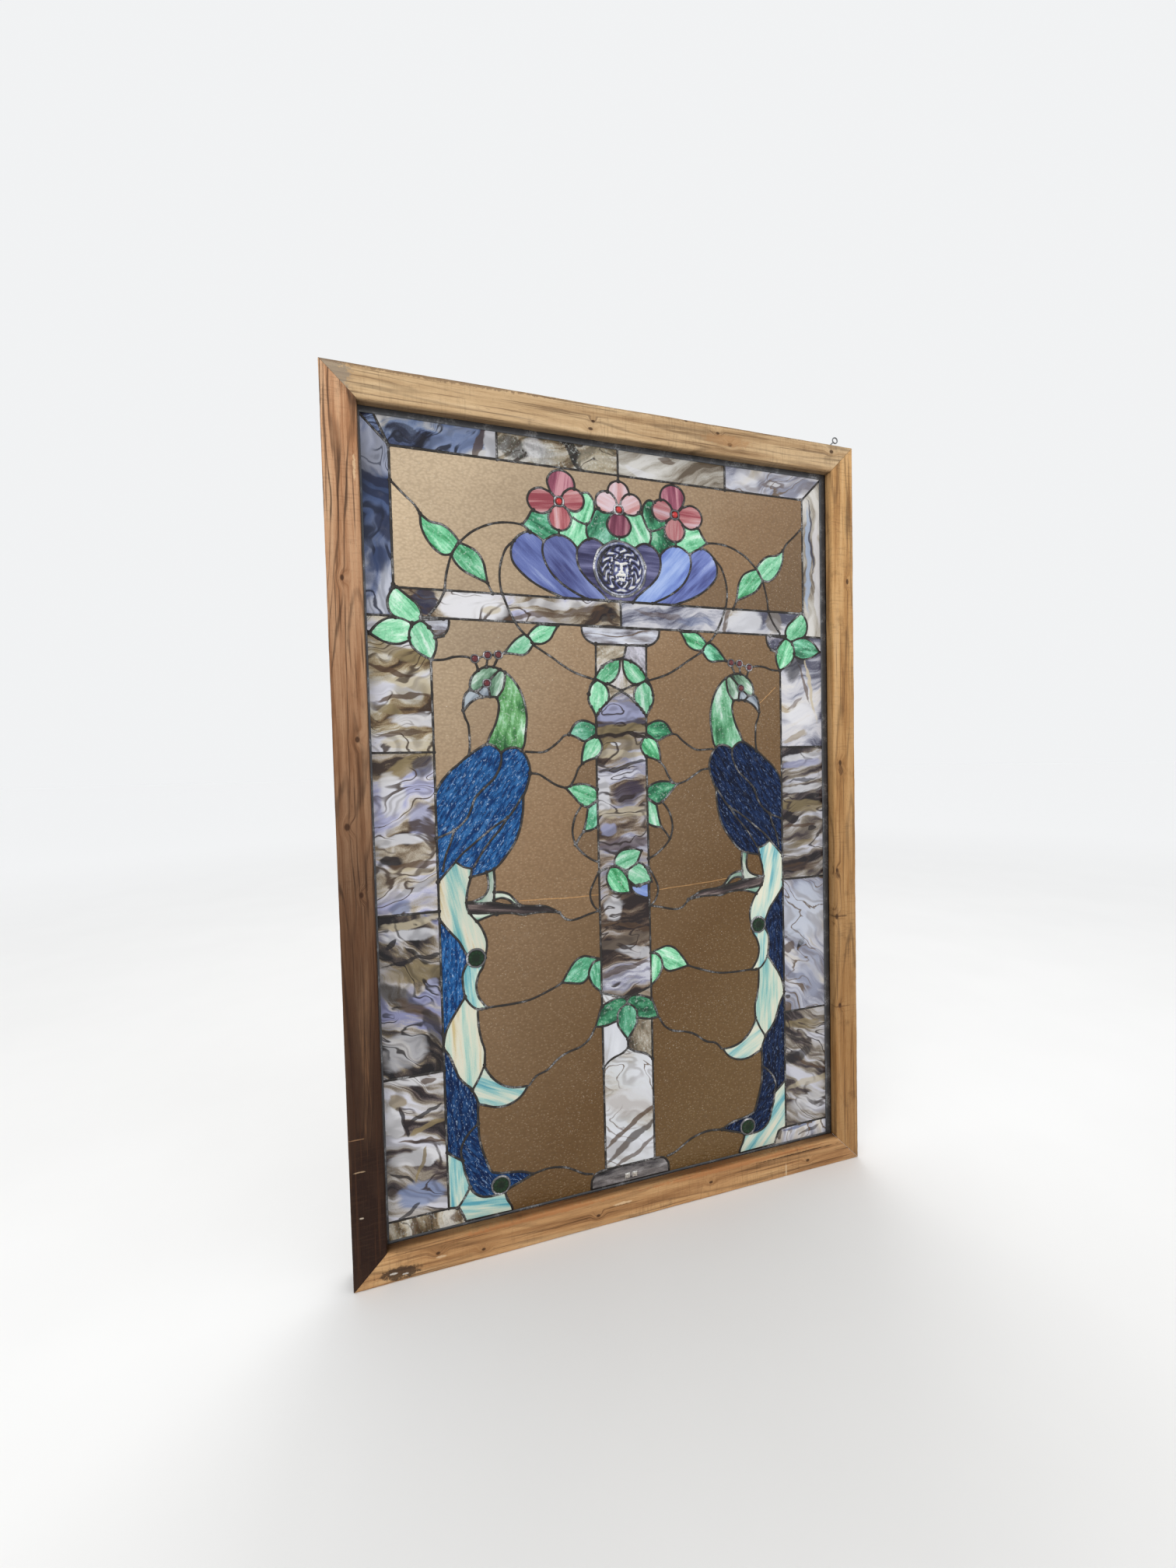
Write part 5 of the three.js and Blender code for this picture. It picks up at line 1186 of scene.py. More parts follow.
# The border came: four mitred lengths of lead round the panel, open round its inside for the glass
cameShape = {"face": cameFace, "half": 3.3, "wobble": 0.28}
face, half = cameShape["face"], cameShape["half"]
groove = halfGlass + 0.1
cameSection = [(0.5, -half + 0.5), (1.2, -half), (3.5, -half - 0.15), (6.0, -half), (8.6, -half + 0.05),
               (10.3, -half + 0.35), (face, -half + 1.1), (face - 0.2, -groove),
               (face - 5.0, -groove), (face - 5.0, groove), (face - 0.2, groove), (face, half - 1.1),
               (10.2, half - 0.3), (8.0, half), (3.5, half), (1.0, half), (0.5, half - 0.5)]
inwards = [(0, 1), (-1, 0), (0, -1), (1, 0)]


def cornersOf(low, high):
    return [(low[0], low[2]), (high[0], low[2]), (high[0], high[2]), (low[0], high[2])]


cameCorners = cornersOf(cameLow, cameHigh)
for k, word in enumerate(("Bottom", "Right", "Top", "Left")):
    piece = sweptBoard(f"came{word}", cameCorners[k], cameCorners[(k + 1) % 4], inwards[k], cameSection,
                       cameFinish, "border_came",
                       gap=6.0, wobble=cameShape["wobble"], seed=k)
    marked(piece, "crest", [1.0 if -half - 1 < v.co.y / mm < -half + 0.4 else 0.2
                            for v in piece.data.vertices])

# Wood: four boards with their own colour, knots and stains, grain along the board
boardLooks = {
    "top": {
        "grainAlong": "x", "tones": tones((0.12, 112, 82, 52), (0.38, 176, 144, 106), (0.60, 204, 174, 134),
            (0.9, 224, 200, 162)),
        "knots": [(-50, 1164, 4, 2.4), (-46, 1175, 3, 2.2), (153, 1187, 3.4, 2.4), (174, 1173, 4.4, 3),
            (361, 1188, 3.6, 3), (100, 1198, 3, 2)],
        "stains": [(-392, 1182, 26, 24, rgb(128, 122, 114), 0.6),
            (-240, 1199, 170, 4.5, rgb(112, 88, 66), 0.7), (150, 1199, 200, 2.6, rgb(120, 90, 62), 0.5),
            (170, 1178, 40, 8, rgb(168, 122, 78), 0.5)],
    },
    "bottom": {
        "grainAlong": "x", "tones": tones((0.12, 98, 64, 36), (0.38, 162, 118, 76), (0.60, 194, 150, 102),
            (0.9, 224, 188, 138)),
        "knots": [(-295, 25, 4, 3), (-234, 14, 3.4, 2.4), (-66, 18, 3.4, 2.4), (300, 18, 3.4, 2.4),
            (120, 24, 3, 2)],
        "stains": [(-345, 12, 26, 9, rgb(52, 38, 30), 0.85), (-352, 13, 5, 1.6, rgb(214, 208, 198), 0.8),
            (-338, 9, 4, 1.4, rgb(214, 208, 198), 0.7), (-28, 27, 14, 2.0, rgb(222, 190, 150), 0.8),
            (-291, 19, 6, 1.8, rgb(214, 184, 148), 0.8), (258, 10, 1.6, 12, rgb(220, 196, 160), 0.6),
            (-150, 40, 120, 3.0, rgb(176, 116, 70), 0.6), (170, 40, 160, 3.0, rgb(176, 116, 70), 0.6),
            (285, 34, 76, 0.9, rgb(44, 28, 18), 0.85)],
    },
    "left": {
        "grainAlong": "z", "tones": tones((0.12, 96, 58, 32), (0.38, 168, 120, 84), (0.60, 204, 158, 120),
            (0.9, 230, 194, 156)),
        "knots": [(-389, 613, 3.6, 5), (-373, 725, 3, 4.4), (-375, 524, 2.6, 4), (-384, 930, 2.4, 4)],
        "stains": [(-365, 1070, 1.8, 16, rgb(214, 182, 144), 0.8),
            (-390, 160, 7, 0.9, rgb(206, 176, 140), 0.5), (-390, 98, 3, 1.4, rgb(206, 190, 170), 0.7),
            (-392, 204, 9, 0.7, rgb(196, 150, 110), 0.35)],
        "fall": (0.97, rgb(38, 18, 8)), "figure": 0.85, "rings": 34.0,
    },
    "right": {
        "grainAlong": "z", "tones": tones((0.12, 112, 74, 38), (0.38, 176, 130, 80), (0.60, 210, 166, 112),
            (0.9, 232, 196, 146)),
        "knots": [(373, 680, 3, 5), (365, 500, 2.6, 4), (363, 422, 3, 5), (368, 270, 2.6, 4),
            (390, 980, 2, 4)],
        "stains": [(374, 668, 4, 9, rgb(70, 44, 26), 0.6), (366, 492, 4, 7, rgb(76, 50, 30), 0.6),
            (372, 422, 14, 1.2, rgb(60, 38, 24), 0.7), (372, 268, 16, 1.2, rgb(90, 58, 34), 0.6),
            (380, 800, 3, 40, rgb(110, 72, 40), 0.4)],
        "fall": (0.50, rgb(116, 78, 38)),
    },
}


def madeWood(name, look):
    made = Finish(name)
    where = made.place()
    x, y, z = made.parts(where)
    along, across = (x, z) if look["grainAlong"] == "x" else (z, x)
    swirl = made.grain(made.join(along * 2.2, across * 9.0, y * 9.0), 1.0, 2.0) - 0.5
    knotPull, core, ringsNear = 0, None, None
    for kx, kz, rx, rz in look["knots"]:
        away = (((x * 1000 - kx) / rx) ** 2 + ((z * 1000 - kz) / rz) ** 2) ** 0.5
        near = 1 - made.step(away, 0.4, 4.4)
        heart = 1 - made.step(away + swirl * 1.2, 0.62, 1.25)
        knotPull = knotPull + near * 0.007
        core = heart if core is None else core.most(heart)
        ringsNear = near if ringsNear is None else ringsNear.most(near)
    rings = made.grain(made.join(along * 3.0, (across + knotPull) * 62.0, y * 40.0), 1.0, 4.0, 0.62, 0.35)
    fibre = made.grain(made.join(along * 26.0, (across + knotPull) * 900.0, y * 600.0), 1.0, 3.0, 0.6)
    saw = made.grain(made.join(along * 430.0, across * 44.0, y * 40.0), 1.0, 2.0, 0.5)
    patch = made.grain(where, 7.0, 4.0, 0.6)
    pattern = (rings - 0.5) * 1.25 + (fibre - 0.5) * 0.42 + (patch - 0.5) * 0.5 + 0.5
    colour = made.ramp(pattern, look["tones"])
    # darker towards the foot of the board
    if "fall" in look:
        amount, dark = look["fall"]
        low = (1 - made.step(z, 0.15, 1.27)) * amount + (patch - 0.5) * 0.3
        colour = made.mix(low.kept(), colour, dark)
    colour = made.mix(made.step(rings, 0.52, 0.66) * made.step(fibre, 0.40, 0.62) * 0.30, colour,
                      rgb(150, 104, 68))
    arches = made.join(along * 1.7, (across + knotPull * 0.15) * 17.0, y * 12.0)
    arches = made.grain(arches, 1.0, 2.5, 0.5, 0.3)
    bands = made.folded(arches * look.get("rings", 16.0) + fibre * 0.5)
    figure = 1 - made.step(bands, 0.04, 0.36)
    colour = made.mix(figure * made.step(patch, 0.30, 0.62) * look.get("figure", 0.42), colour,
                      rgb(40, 22, 12))
    lines = made.grain(made.join(along * 5.0, (across + knotPull) * 260.0, y * 160.0), 1.0, 2.0, 0.5)
    lines = made.step(lines, 0.58, 0.68)
    colour = made.mix(lines * (0.32 + look.get("figure", 0.42) * 0.45), colour, rgb(62, 36, 20))
    cuts = made.step(saw, 0.52, 0.66) * made.step(patch, 0.40, 0.62)
    colour = made.mix(cuts * 0.20, colour, rgb(74, 50, 32))
    pores = made.grain(made.join(along * 90.0, across * 1400.0, y * 900.0), 1.0, 2.0, 0.6)
    pores = made.step(pores, 0.60, 0.70)
    colour = made.mix(pores * 0.38, colour, rgb(66, 42, 26))
    colour = made.mix(ringsNear * 0.16, colour, rgb(112, 72, 42))
    colour = made.mix(core * 0.85, colour, rgb(52, 28, 14))
    chips = made.grain(where, 240.0, 3.0, 0.6)
    for sx, sz, rx, rz, stainColour, strength in look["stains"]:
        away = ((x * 1000 - sx) / rx) ** 2 + ((z * 1000 - sz) / rz) ** 2
        away = away + (rings - 0.5) * 1.4 + (chips - 0.5) * 3.2
        colour = made.mix((1 - made.step(away, 0.5, 1.4)) * strength, colour, stainColour)
    grime = made.step(made.grain(where, 30.0, 5.0, 0.7), 0.56, 0.74)
    colour = made.mix(grime * 0.30, colour, rgb(66, 46, 32))
    colour = made.mix(made.attribute("shade") * 0.6, colour, rgb(52, 34, 22))
    rough = 0.62 + (fibre - 0.5) * 0.3 + grime * 0.1
    height = rings * 0.5 + fibre * 0.55 + saw * 0.35 - core * 0.8 - lines * 0.5
    return made.surface({"IOR": 1.45, "Specular IOR Level": 0.22},
                        {"Base Color": colour, "Roughness": rough}, height, 0.55, 0.0009)


frameLow = np.array(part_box("frame_bottom_rail")[0]) / mm
frameHigh = np.array(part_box("frame_top_rail")[1]) / mm
# A board's section is (how far in from the outer edge, depth), with a lip in front of the rebate
lipBack, boardFace = -3.6, 42.6
seat = boardFace - 9.0
boardSection = [
    (0.0, -16.4), (0.35, -17.7), (1.3, -18.6), (2.8, -19.0), *[(f, -19.0) for f in (8, 14, 20, 26, 32, 37)],
    (40.8, -19.0), (41.9, -18.6), (42.4, -17.9), (42.6, -16.8), (42.6, -12), (42.6, -8), (42.6, -5),
    (42.2, -4.0), (41.4, lipBack), (38, lipBack), (seat, lipBack), (seat, 4), (seat, 12), (seat, 17.8),
    (seat - 0.4, 18.6), (seat - 1.3, 19.0), (26, 19.0), (18, 19.0), (10, 19.0), (1.6, 19.0), (0.4, 18.4),
    (0.0, 17.2), (0.0, 8), (0.0, 0), (0.0, -8),
]
frameCorners = cornersOf(frameLow, frameHigh)
dentsOf = {
    "bottom": [(375, 1.3, 14, 27), (113, 0.9, 6, 18), (660, 0.8, 60, 34)],
    "right": [(270, 0.7, 12, 38), (500, 0.8, 9, 38), (680, 0.7, 9, 34)],
    "top": [(230, 0.6, 14, 20), (620, 0.6, 12, 8)],
    "left": [(130, 1.2, 10, 38), (1040, 0.9, 7, 13), (1100, 0.8, 7, 13)],
}
for k, (word, part) in enumerate((("bottom", "rail"), ("right", "stile"), ("top", "rail"),
                                  ("left", "stile"))):
    finish = madeWood("wood" + word.capitalize(), boardLooks[word])
    piece = sweptBoard(f"board{word.capitalize()}", frameCorners[k], frameCorners[(k + 1) % 4], inwards[k],
                       boardSection, finish, f"frame_{word}_{part}",
                       gap=5.0, trim=0.21, wobble=0.42, seed=k + 5, dents=dentsOf[word])
    shade = 0.35 if word == "right" else 1.0
    rows = len(piece.data.vertices) // len(boardSection)
    marked(piece, "shade", [shade if f > 42.5 and y > -15 else 0.0 for f, y in boardSection] * rows)

# Strips of wood behind the panel
stopLook = {"grainAlong": "x", "tones": tones((0.15, 96, 70, 46), (0.5, 150, 116, 80), (0.9, 186, 152, 112)),
            "knots": [(-120, 40, 4, 3)], "stains": []}
stopSection = [(0.5, 3.6), (12.6, 3.6), (13.0, 4.0), (13.0, 14.8), (12.3, 15.6), (6, 15.6), (0.4, 15.6),
               (0.0, 15.0), (0.0, 4.1)]
for word in ("bottom", "top", "left", "right"):
    low, high = [np.array(corner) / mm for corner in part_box(f"stop_{word}")]
    level = word in ("bottom", "top")
    finish = madeWood("strip" + word.capitalize(), dict(stopLook, grainAlong="x" if level else "z"))
    if level:
        z = low[2] if word == "bottom" else high[2]
        start, end, inward = (low[0], z), (high[0], z), (0, 1 if word == "bottom" else -1)
    else:
        x = low[0] if word == "left" else high[0]
        start, end, inward = (x, low[2]), (x, high[2]), (1 if word == "left" else -1, 0)
    length = high[0] - low[0] if level else high[2] - low[2]
    count = int(length / 8)
    points = []
    start, end, inward = [np.array(p, float) for p in (start, end, inward)]
    for index in range(count + 1):
        for f, y in stopSection:
            wander = 0.18 * jitter(index * 8, f, y, 0.02)
            spot = start + (end - start) * (index / count) + inward * max(f + wander, 0)
            points.append((spot[0], y + abs(wander), spot[1]))
    faces = tubeFaces(count + 1, len(stopSection))
    piece = madeMesh("strip" + word.capitalize(), points, faces, finish, f"stop_{word}")
    facedOut(piece)
    piece.data.set_sharp_from_angle(angle=math.radians(50))
print("frame made")

# The screw eye: one wire, a threaded shank and a ring not quite closed
eyeShape = {
    "foot": (362.0, -9.0, 1200.0), "wire": 1.0, "ring": 4.5, "shank": 15.5, "buried": 11.5, "lean": 47,
    "thread": 0.22, "threadTop": 1.5, "threadTurn": 4.2, "sides": 12, "step": 0.5,
}
foot, ring, sides = eyeShape["foot"], eyeShape["ring"], eyeShape["sides"]
steps = int((eyeShape["shank"] + eyeShape["buried"]) / eyeShape["step"])
path = [(-eyeShape["buried"] + k * eyeShape["step"], 0.0) for k in range(steps + 1)]
for turn in np.linspace(0.12, 6.05, 44):
    path.append((eyeShape["shank"] + ring * (1 - math.cos(turn)), ring * math.sin(turn)))
path = np.array(path)
onward = np.gradient(path, axis=0)
onward /= np.linalg.norm(onward, axis=1)[:, None]
tip = math.radians(eyeShape["lean"])
points = []
for (u, v), (du, dv) in zip(path, onward):
    for k in range(sides):
        turn = 2 * math.pi * k / sides
        radius = eyeShape["wire"]
        if v == 0:
            if u < eyeShape["threadTop"]:
                radius *= 1 - eyeShape["thread"] * (0.5 + 0.5 * math.sin(u * eyeShape["threadTurn"] + turn))
            radius *= min(1, 0.35 + max(0, u + eyeShape["buried"]) * 0.3)
        along, aside = u - dv * radius * math.cos(turn), v + du * radius * math.cos(turn)
        points.append((foot[0] + along * math.sin(tip) + aside * math.cos(tip),
                       foot[1] + radius * math.sin(turn),
                       foot[2] + along * math.cos(tip) - aside * math.sin(tip)))
steel = Finish("screwSteel")
steelSpots = steel.grain(steel.place(), 900.0, 4.0, 0.6)
steelColour = steel.mix(steel.step(steelSpots, 0.5, 0.7) * 0.5, (0.20, 0.21, 0.22, 1), (0.09, 0.07, 0.055, 1))
steelRough = 0.30 + steelSpots * 0.25
steel.surface({"Metallic": 0.9}, {"Base Color": steelColour, "Roughness": steelRough},
              steelSpots, 0.3, 0.0003)
faces = tubeFaces(len(path), sides)
facedOut(madeMesh("screwEye", points, faces, steel.material, "screw_eye"))


def turnedRelief(name, middle, rings, count, heightOf, finish, node, backHeight=1.5):
    # a round of glass: rings of points under a relief on the front, and a flat back
    points, faces = [(middle[0], -halfGlass - heightOf(0.0, 0.0), middle[1])], []
    relief = [heightOf(0.0, 0.0)]
    for radius in rings:
        for k in range(count):
            turn = 2 * math.pi * k / count
            rise = heightOf(radius, turn)
            points.append((middle[0] + radius * math.sin(turn), -halfGlass - rise,
                           middle[1] + radius * math.cos(turn)))
            relief.append(rise)
    for k in range(count):
        after = (k + 1) % count
        faces.append((0, 1 + after, 1 + k))
        for ring in range(len(rings) - 1):
            p = 1 + ring * count
            faces.append((p + k, p + after, p + count + after, p + count + k))
    rim = 1 + (len(rings) - 1) * count
    back = len(points)
    for k in range(count):
        turn = 2 * math.pi * k / count
        points.append((middle[0] + rings[-1] * math.sin(turn), backHeight,
                       middle[1] + rings[-1] * math.cos(turn)))
        relief.append(0)
    points.append((middle[0], backHeight, middle[1]))
    relief.append(0)
    for k in range(count):
        after = (k + 1) % count
        faces.append((rim + k, rim + after, back + after, back + k))
        faces.append((back + k, back + after, back + count))
    piece = madeMesh(name, points, faces, finish, node)
    facedOut(piece)
    # the relief's height, scaled, for the finishes to paint as highlight where the glass stands higher
    marked(piece, "relief", [height * 0.3 for height in relief])
    return piece


# The rondel: a lion's mask in relief inside a clear rim
def smooth(value, low, high):
    t = min(max((value - low) / (high - low), 0), 1)
    return t * t * (3 - 2 * t)


# The mask is drawn at its own size and spread a little; glow is how its relief turns into painted light and
# shade in the colour
rondelShape = {"spread": 1.12, "rim": 1.3, "dish": 1.6, "mane": 1.9, "ruff": 1.0, "face": 1.7, "maskEdge": 36,
               "glow": 0.38, "glowLow": 0.08, "lit": 0.40, "litStep": 0.9, "rimGlow": 0.68, "backGlow": 0.40}


def dishHeight(radius):
    return rondelShape["dish"] * (1 - smooth(radius, 27, 32))


def lionHeight(radius, turn):
    rim = rondelShape["rim"] * smooth(radius, 36.2, 37.3) * (1 - 0.4 * smooth(radius, 38.2, 39.6))
    radius = radius / rondelShape["spread"]
    up, across = radius * math.cos(turn), radius * math.sin(turn)

    def bump(x, z, wide, tall, height, lean=0.0):
        dx, dz = across - x, up - z
        along, aside = dx * math.cos(lean) + dz * math.sin(lean), dz * math.cos(lean) - dx * math.sin(lean)
        return height * math.exp(-(along / wide) ** 2 - (aside / tall) ** 2)

    def pair(x, z, wide, tall, height, lean=0.0):
        return bump(-x, z, wide, tall, height, -lean) + bump(x, z, wide, tall, height, lean)

    wave = 0.55 * math.sin(radius * 0.42) * math.copysign(1, across)
    lock = 0.5 + 0.5 * math.cos(13 * (turn + wave * 0.35))
    mane = rondelShape["mane"] * lock ** 0.7 * smooth(radius, 13.5, 17) * (1 - smooth(radius, 27, 32))
    ruff = 0.5 + 0.5 * math.cos(17 * (turn - wave * 0.3) + 1.5)
    ruff *= rondelShape["ruff"] * smooth(radius, 11, 13) * (1 - smooth(radius, 15, 18))
    face = rondelShape["face"] * (1 - smooth(math.hypot(across * 1.05, up * 0.8 + 1.0), 10, 13.5))
    brow = pair(5.4, 7.6, 4.4, 1.5, 1.5, 0.35)
    furrow = bump(0, 11.5, 0.9, 3.4, -0.9)
    eyes = pair(5.2, 4.2, 2.6, 1.3, -1.5, 0.2) + pair(5.0, 4.1, 1.0, 0.8, 0.9)
    nose = bump(0, 2.5, 1.9, 6.5, 1.6) + bump(0, -3.9, 3.2, 1.6, 1.4) + bump(0, -5.6, 1.2, 1.0, -1.0)
    cheeks = pair(7.4, -1.5, 2.2, 3.6, 0.8)
    muzzle = pair(3.1, -7.6, 3.0, 2.2, 1.5)
    mouth = bump(0, -10.8, 4.8, 0.8, -1.6) + bump(0, -13.4, 3.2, 1.8, 1.2)
    features = brow + furrow + eyes + nose + cheeks + muzzle + mouth
    return rim + dishHeight(radius) + mane + ruff + face + features


rondelGlass = Finish("rondelGlass")
rondelPaintedLight = rondelGlass.attribute("relief")
rondelPlace = rondelGlass.place()
rondelGrain = rondelGlass.grain(rondelPlace, 110.0, 4.0, 0.6, 0.5)
rondelFine = rondelGlass.grain(rondelPlace, 520.0, 2.0, 0.6)
# painted light and shade with random grain sets the colour, from dark navy in the painted shade to near white
# in the painted highlights
rondelTone = rondelPaintedLight + (rondelGrain - 0.5) * 0.7 + (rondelFine - 0.5) * 0.2
rondelStops = tones((0.02, 6, 5, 24), (0.24, 20, 20, 64), (0.44, 48, 52, 110),
                    (0.62, 108, 114, 156), (0.78, 190, 194, 206), (0.95, 244, 242, 234))
rondelColour = rondelGlass.ramp(rondelTone, rondelStops)
rondelGlass.surface({"IOR": 1.5, "Transmission Weight": 0.1, "Specular IOR Level": 0.6},
                    {"Base Color": rondelColour, "Roughness": 0.08 + rondelGrain * 0.14},
                    rondelGrain, 0.25, 0.001)
rondelMiddle = placed([drawing["rondel"]], 1)[0]
rondelRings = [0.6 * k for k in range(1, 65)] + [38.9]
rondelPiece = turnedRelief("lionRondel", rondelMiddle, rondelRings, 200, lionHeight, rondelGlass.material,
                           "lion_rondel")


def maskGlow(point):
    # painted light and shade: pale on what stands up and on slopes that face down to the right, darker on
    # what lies low and on slopes that face the other way
    if point.y >= 0:
        return rondelShape["backGlow"]
    dx, dz, step = point.x / mm - rondelMiddle[0], point.z / mm - rondelMiddle[1], rondelShape["litStep"]
    radius = math.hypot(dx, dz)
    if radius >= rondelShape["maskEdge"]:
        return rondelShape["rimGlow"]
    rise, behind, ahead = [lionHeight(math.hypot(x, z), math.atan2(x, z)) for x, z in (
        (dx, dz), (dx + step, dz - step), (dx - step, dz + step))]
    rise -= dishHeight(radius / rondelShape["spread"])
    glow = rondelShape["glow"] * rise - rondelShape["glowLow"] - rondelShape["lit"] * (behind - ahead)
    return min(max(glow, 0), 1)


glows = [maskGlow(vertex.co) for vertex in rondelPiece.data.vertices]
rondelPiece.data.attributes["relief"].data.foreach_set("value", glows)

# Dark pressed roundels, four of them, and the small red jewels
darkGlass = Finish("roundelGlass")
darkGrain = darkGlass.grain(darkGlass.place(), 240.0, 3.0)
# paler green where the pressed glass stands higher: a painted highlight on the raised ring
darkColour = darkGlass.ramp(darkGlass.attribute("relief") + darkGrain * 0.5,
                            tones((0.3, 6, 22, 10), (0.7, 10, 40, 16), (1.0, 30, 72, 42)))
darkRough = 0.08 + darkGrain * 0.10
darkGlass.surface({"IOR": 1.5, "Specular IOR Level": 0.3}, {"Base Color": darkColour, "Roughness": darkRough},
                  darkGrain, 0.25, 0.0006)


def roundelHeight(radius, turn):
    outward = smooth(radius, 3, 8)
    return 0.6 + outward * (1 - smooth(radius, 9.5, 11.6)) + 0.28 * math.cos(10 * turn) * outward


def madeJewel(name, stops):
    made = Finish(name)
    grain = made.grain(made.place(), 700.0, 2.0)
    # paler where the jewel stands higher: a painted highlight on its raised facets
    colour = made.ramp(made.attribute("relief") * 0.55 + grain * 0.35, stops)
    return made.surface({"IOR": 1.6, "Specular IOR Level": 0.5},
                        {"Base Color": colour, "Roughness": 0.05 + grain * 0.1},
                        grain, 0.15, 0.0006)


garnet = madeJewel("garnetGlass", tones((0.35, 50, 2, 10), (0.75, 106, 6, 20), (1.0, 170, 26, 34)))
ruby = madeJewel("rubyGlass", tones((0.35, 120, 10, 12), (0.70, 206, 34, 32), (1.0, 240, 92, 84)))


def jewelHeight(radius, turn):
    facet = math.cos(((turn + math.pi / 8) % (math.pi / 4)) - math.pi / 8)
    return 0.4 + 2.4 * min(1.0, max(0.0, (5.2 - radius * facet) / 2.6))


collarFinish = madeLead("collarMetal", (0.10, 0.10, 0.105, 1), (0.66, 0.66, 0.68, 1), 1.4)


def collar(name, middle, radius, thick, square=0.0):
    # a raised ring of solder round a jewel
    points, faces, crest, count = [], [], [], 40
    section = [(-1.0, -0.4), (-0.7, 0.6), (0.0, 1.0), (0.7, 0.6), (1.0, -0.4)]
    for k in range(count):
        turn = 2 * math.pi * k / count
        wander = jitter(3 * math.cos(turn), 3 * math.sin(turn), middle[0], 1.0)
        out = radius * (1 + square * (abs(math.sin(2 * turn)) - 0.5)) * (1 + 0.05 * wander)
        for t, h in section:
            reach = out + t * thick
            points.append((middle[0] + reach * math.cos(turn), -halfGlass - 1.7 * h,
                           middle[1] + reach * math.sin(turn)))
            crest.append(max(h, 0) * 1.3)
    for k in range(count):
        for j in range(4):
            p, q = k * 5 + j, ((k + 1) % count) * 5 + j
            faces.append((p, q, q + 1, p + 1))
    marked(madeMesh(name, points, faces, collarFinish, "solder_net"), "crest", crest)


def madeHeart(name, middle, side, node):
    spot = placed([middle], side)[0]
    turnedRelief("heart" + name, spot, [0.9, 1.8, 2.7, 3.6, 4.5, 5.2], 24, jewelHeight, ruby,
                 node)
    collar("heartCollar" + name, spot, 6.6, 1.7, 0.16)


for side in bothSides:
    name = sideNames[side].capitalize()
    for number, middle in enumerate(drawing["roundels"], 1):
        spot = placed([middle], side)[0]
        turnedRelief(f"roundel{name}{number}", spot, [*range(1, 12), 11.7], 40, roundelHeight,
                     darkGlass.material,
                     f"roundel_{sideNames[side]}_{number}")
        collar(f"roundelCollar{name}{number}", spot, 12.7, 1.7)
    for number, middle in enumerate(drawing["beads"], 1):
        spot = placed([middle], side)[0]
        turnedRelief(f"bead{name}{number}", spot, [0.8, 1.6, 2.4, 3.2, 4.0, 4.6], 24, jewelHeight, garnet,
                     None)
        collar(f"beadCollar{name}{number}", spot, 5.3, 1.3, 0.06)
    madeHeart(name, drawing["sideFlower"], side, f"flower_{sideNames[side]}")
madeHeart("Middle", drawing["middleFlower"], 1, "flower_middle")
collar("rondelCollar", rondelMiddle, drawing["rondelRadius"], 2.2)

# Two little squares of mirror set in the column's foot: each is (half width, rise) from the glass up
mirror = Finish("mirrorChip")
mirrorGrain = mirror.grain(mirror.place(), 500.0, 3.0)
mirrorColour = mirror.ramp(mirrorGrain, tones((0.3, 150, 150, 146), (0.55, 244, 244, 240)))
mirror.surface({"Metallic": 0.9}, {"Base Color": mirrorColour, "Roughness": 0.3 + mirrorGrain * 0.25},
               mirrorGrain, 0.3, 0.0004)
chipRings = ((4.0, 0.0), (4.0, 0.5), (3.2, 0.9))
chipFaces = []
for ring in (0, 4):
    for k in range(4):
        after = (k + 1) % 4
        chipFaces.append((ring + k, ring + after, ring + 4 + after, ring + 4 + k))
chipFaces += [(8, 9, 10, 11), (3, 2, 1, 0)]
for number, (middleX, middleZ) in enumerate(((-13, 54), (-1, 54)), 1):
    points = [(middleX + dx * size, -halfGlass - rise, middleZ + dz * size)
              for size, rise in chipRings for dx, dz in ((-1, -1), (1, -1), (1, 1), (-1, 1))]
    madeMesh(f"mirrorChip{number}", points, chipFaces, mirror.material, None, smooth=False)
print("rondel, roundels and jewels made")

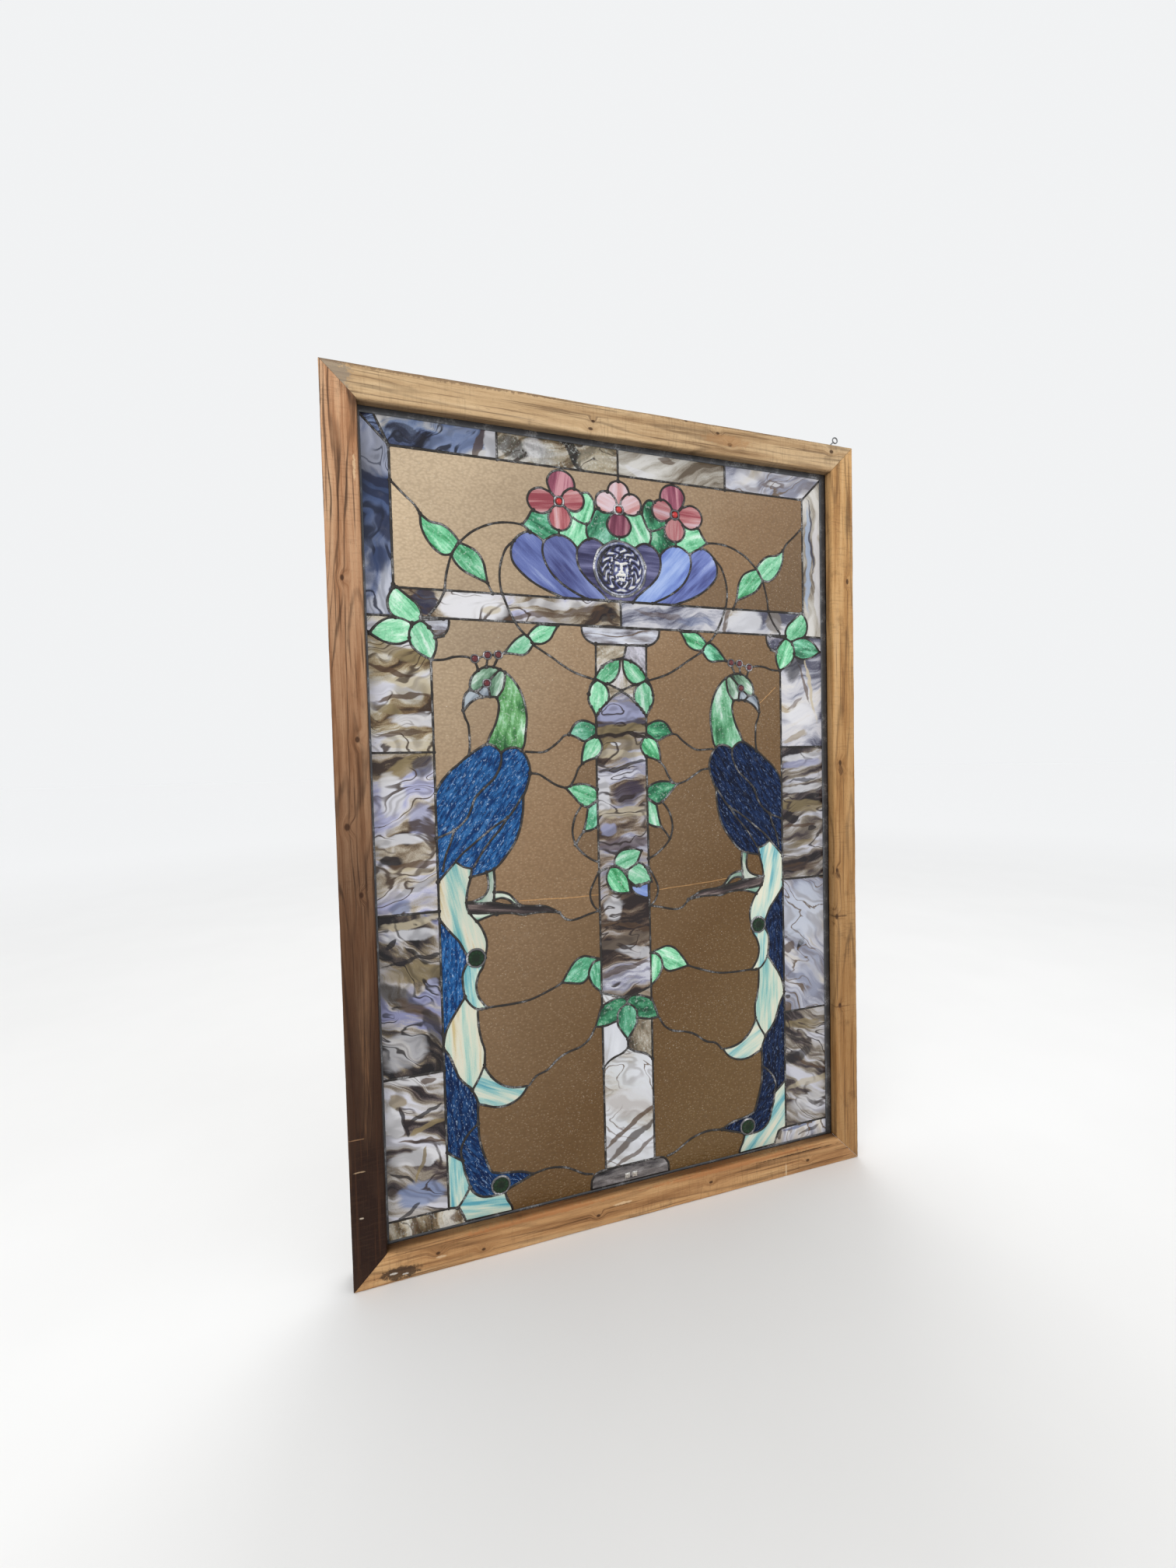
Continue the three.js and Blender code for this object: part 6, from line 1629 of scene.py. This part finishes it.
# Floor and light
floorMesh = bpy.data.meshes.new("floor")
floorHalf = studio["floorHalf"]
floorCorners = [(-floorHalf, -floorHalf, 0), (floorHalf, -floorHalf, 0), (floorHalf, floorHalf, 0),
                (-floorHalf, floorHalf, 0)]
floorMesh.from_pydata(floorCorners, [], [(0, 1, 2, 3)])
floor = bpy.data.objects.new("floor", floorMesh)
bpy.context.scene.collection.objects.link(floor)
pale = Finish("paleFloor")
palePlace = pale.place()
paleGrain = pale.grain(palePlace, 3.0, 3.0)
floorX, floorY, _ = pale.parts(palePlace)
far = pale.step((floorX * floorX + floorY * floorY) ** 0.5, studio["farFrom"], studio["farTo"])
paleColour = pale.mix(paleGrain, studio["floorColour"], [v * 0.94 for v in studio["floorColour"][:3]] + [1])
pale.surface({}, {"Base Color": pale.mix(far, paleColour, (1, 1, 1, 1)), "Roughness": 0.7 + paleGrain * 0.1},
             paleGrain, 0.05, 0.002)
floorMesh.materials.append(pale.material)


def softLight(name, place, target, power, width, height, colour=(1, 1, 1)):
    lamp = bpy.data.lights.new(name, "AREA")
    lamp.shape, lamp.size, lamp.size_y, lamp.energy, lamp.color = "RECTANGLE", width, height, power, colour
    stand = bpy.data.objects.new(name, lamp)
    stand.location = place
    stand.visible_camera = False
    stand.rotation_euler = (Vector(target) - Vector(place)).to_track_quat("-Z", "Y").to_euler()
    bpy.context.scene.collection.objects.link(stand)


softLight("keyLight", (-1.9, -2.1, 2.4), (0, 0, 0.75), studio["keyPower"], 1.8, 1.8, (1.0, 0.985, 0.96))
softLight("fillLight", (2.2, -1.8, 1.5), (0, 0, 0.6), studio["fillPower"], 1.6, 1.6, (0.93, 0.96, 1.0))
softLight("backLight", (0.6, 1.5, 2.3), (0, 0, 0.6), studio["backPower"], 1.6, 1.0)
world = bpy.data.worlds.new("studioAir")
world.use_nodes = True
air = world.node_tree.nodes["Background"]
air.inputs["Color"].default_value = studio["worldColour"]
air.inputs["Strength"].default_value = studio["worldStrength"]
bpy.context.scene.world = world
bpy.context.scene.view_settings.view_transform = "Standard"
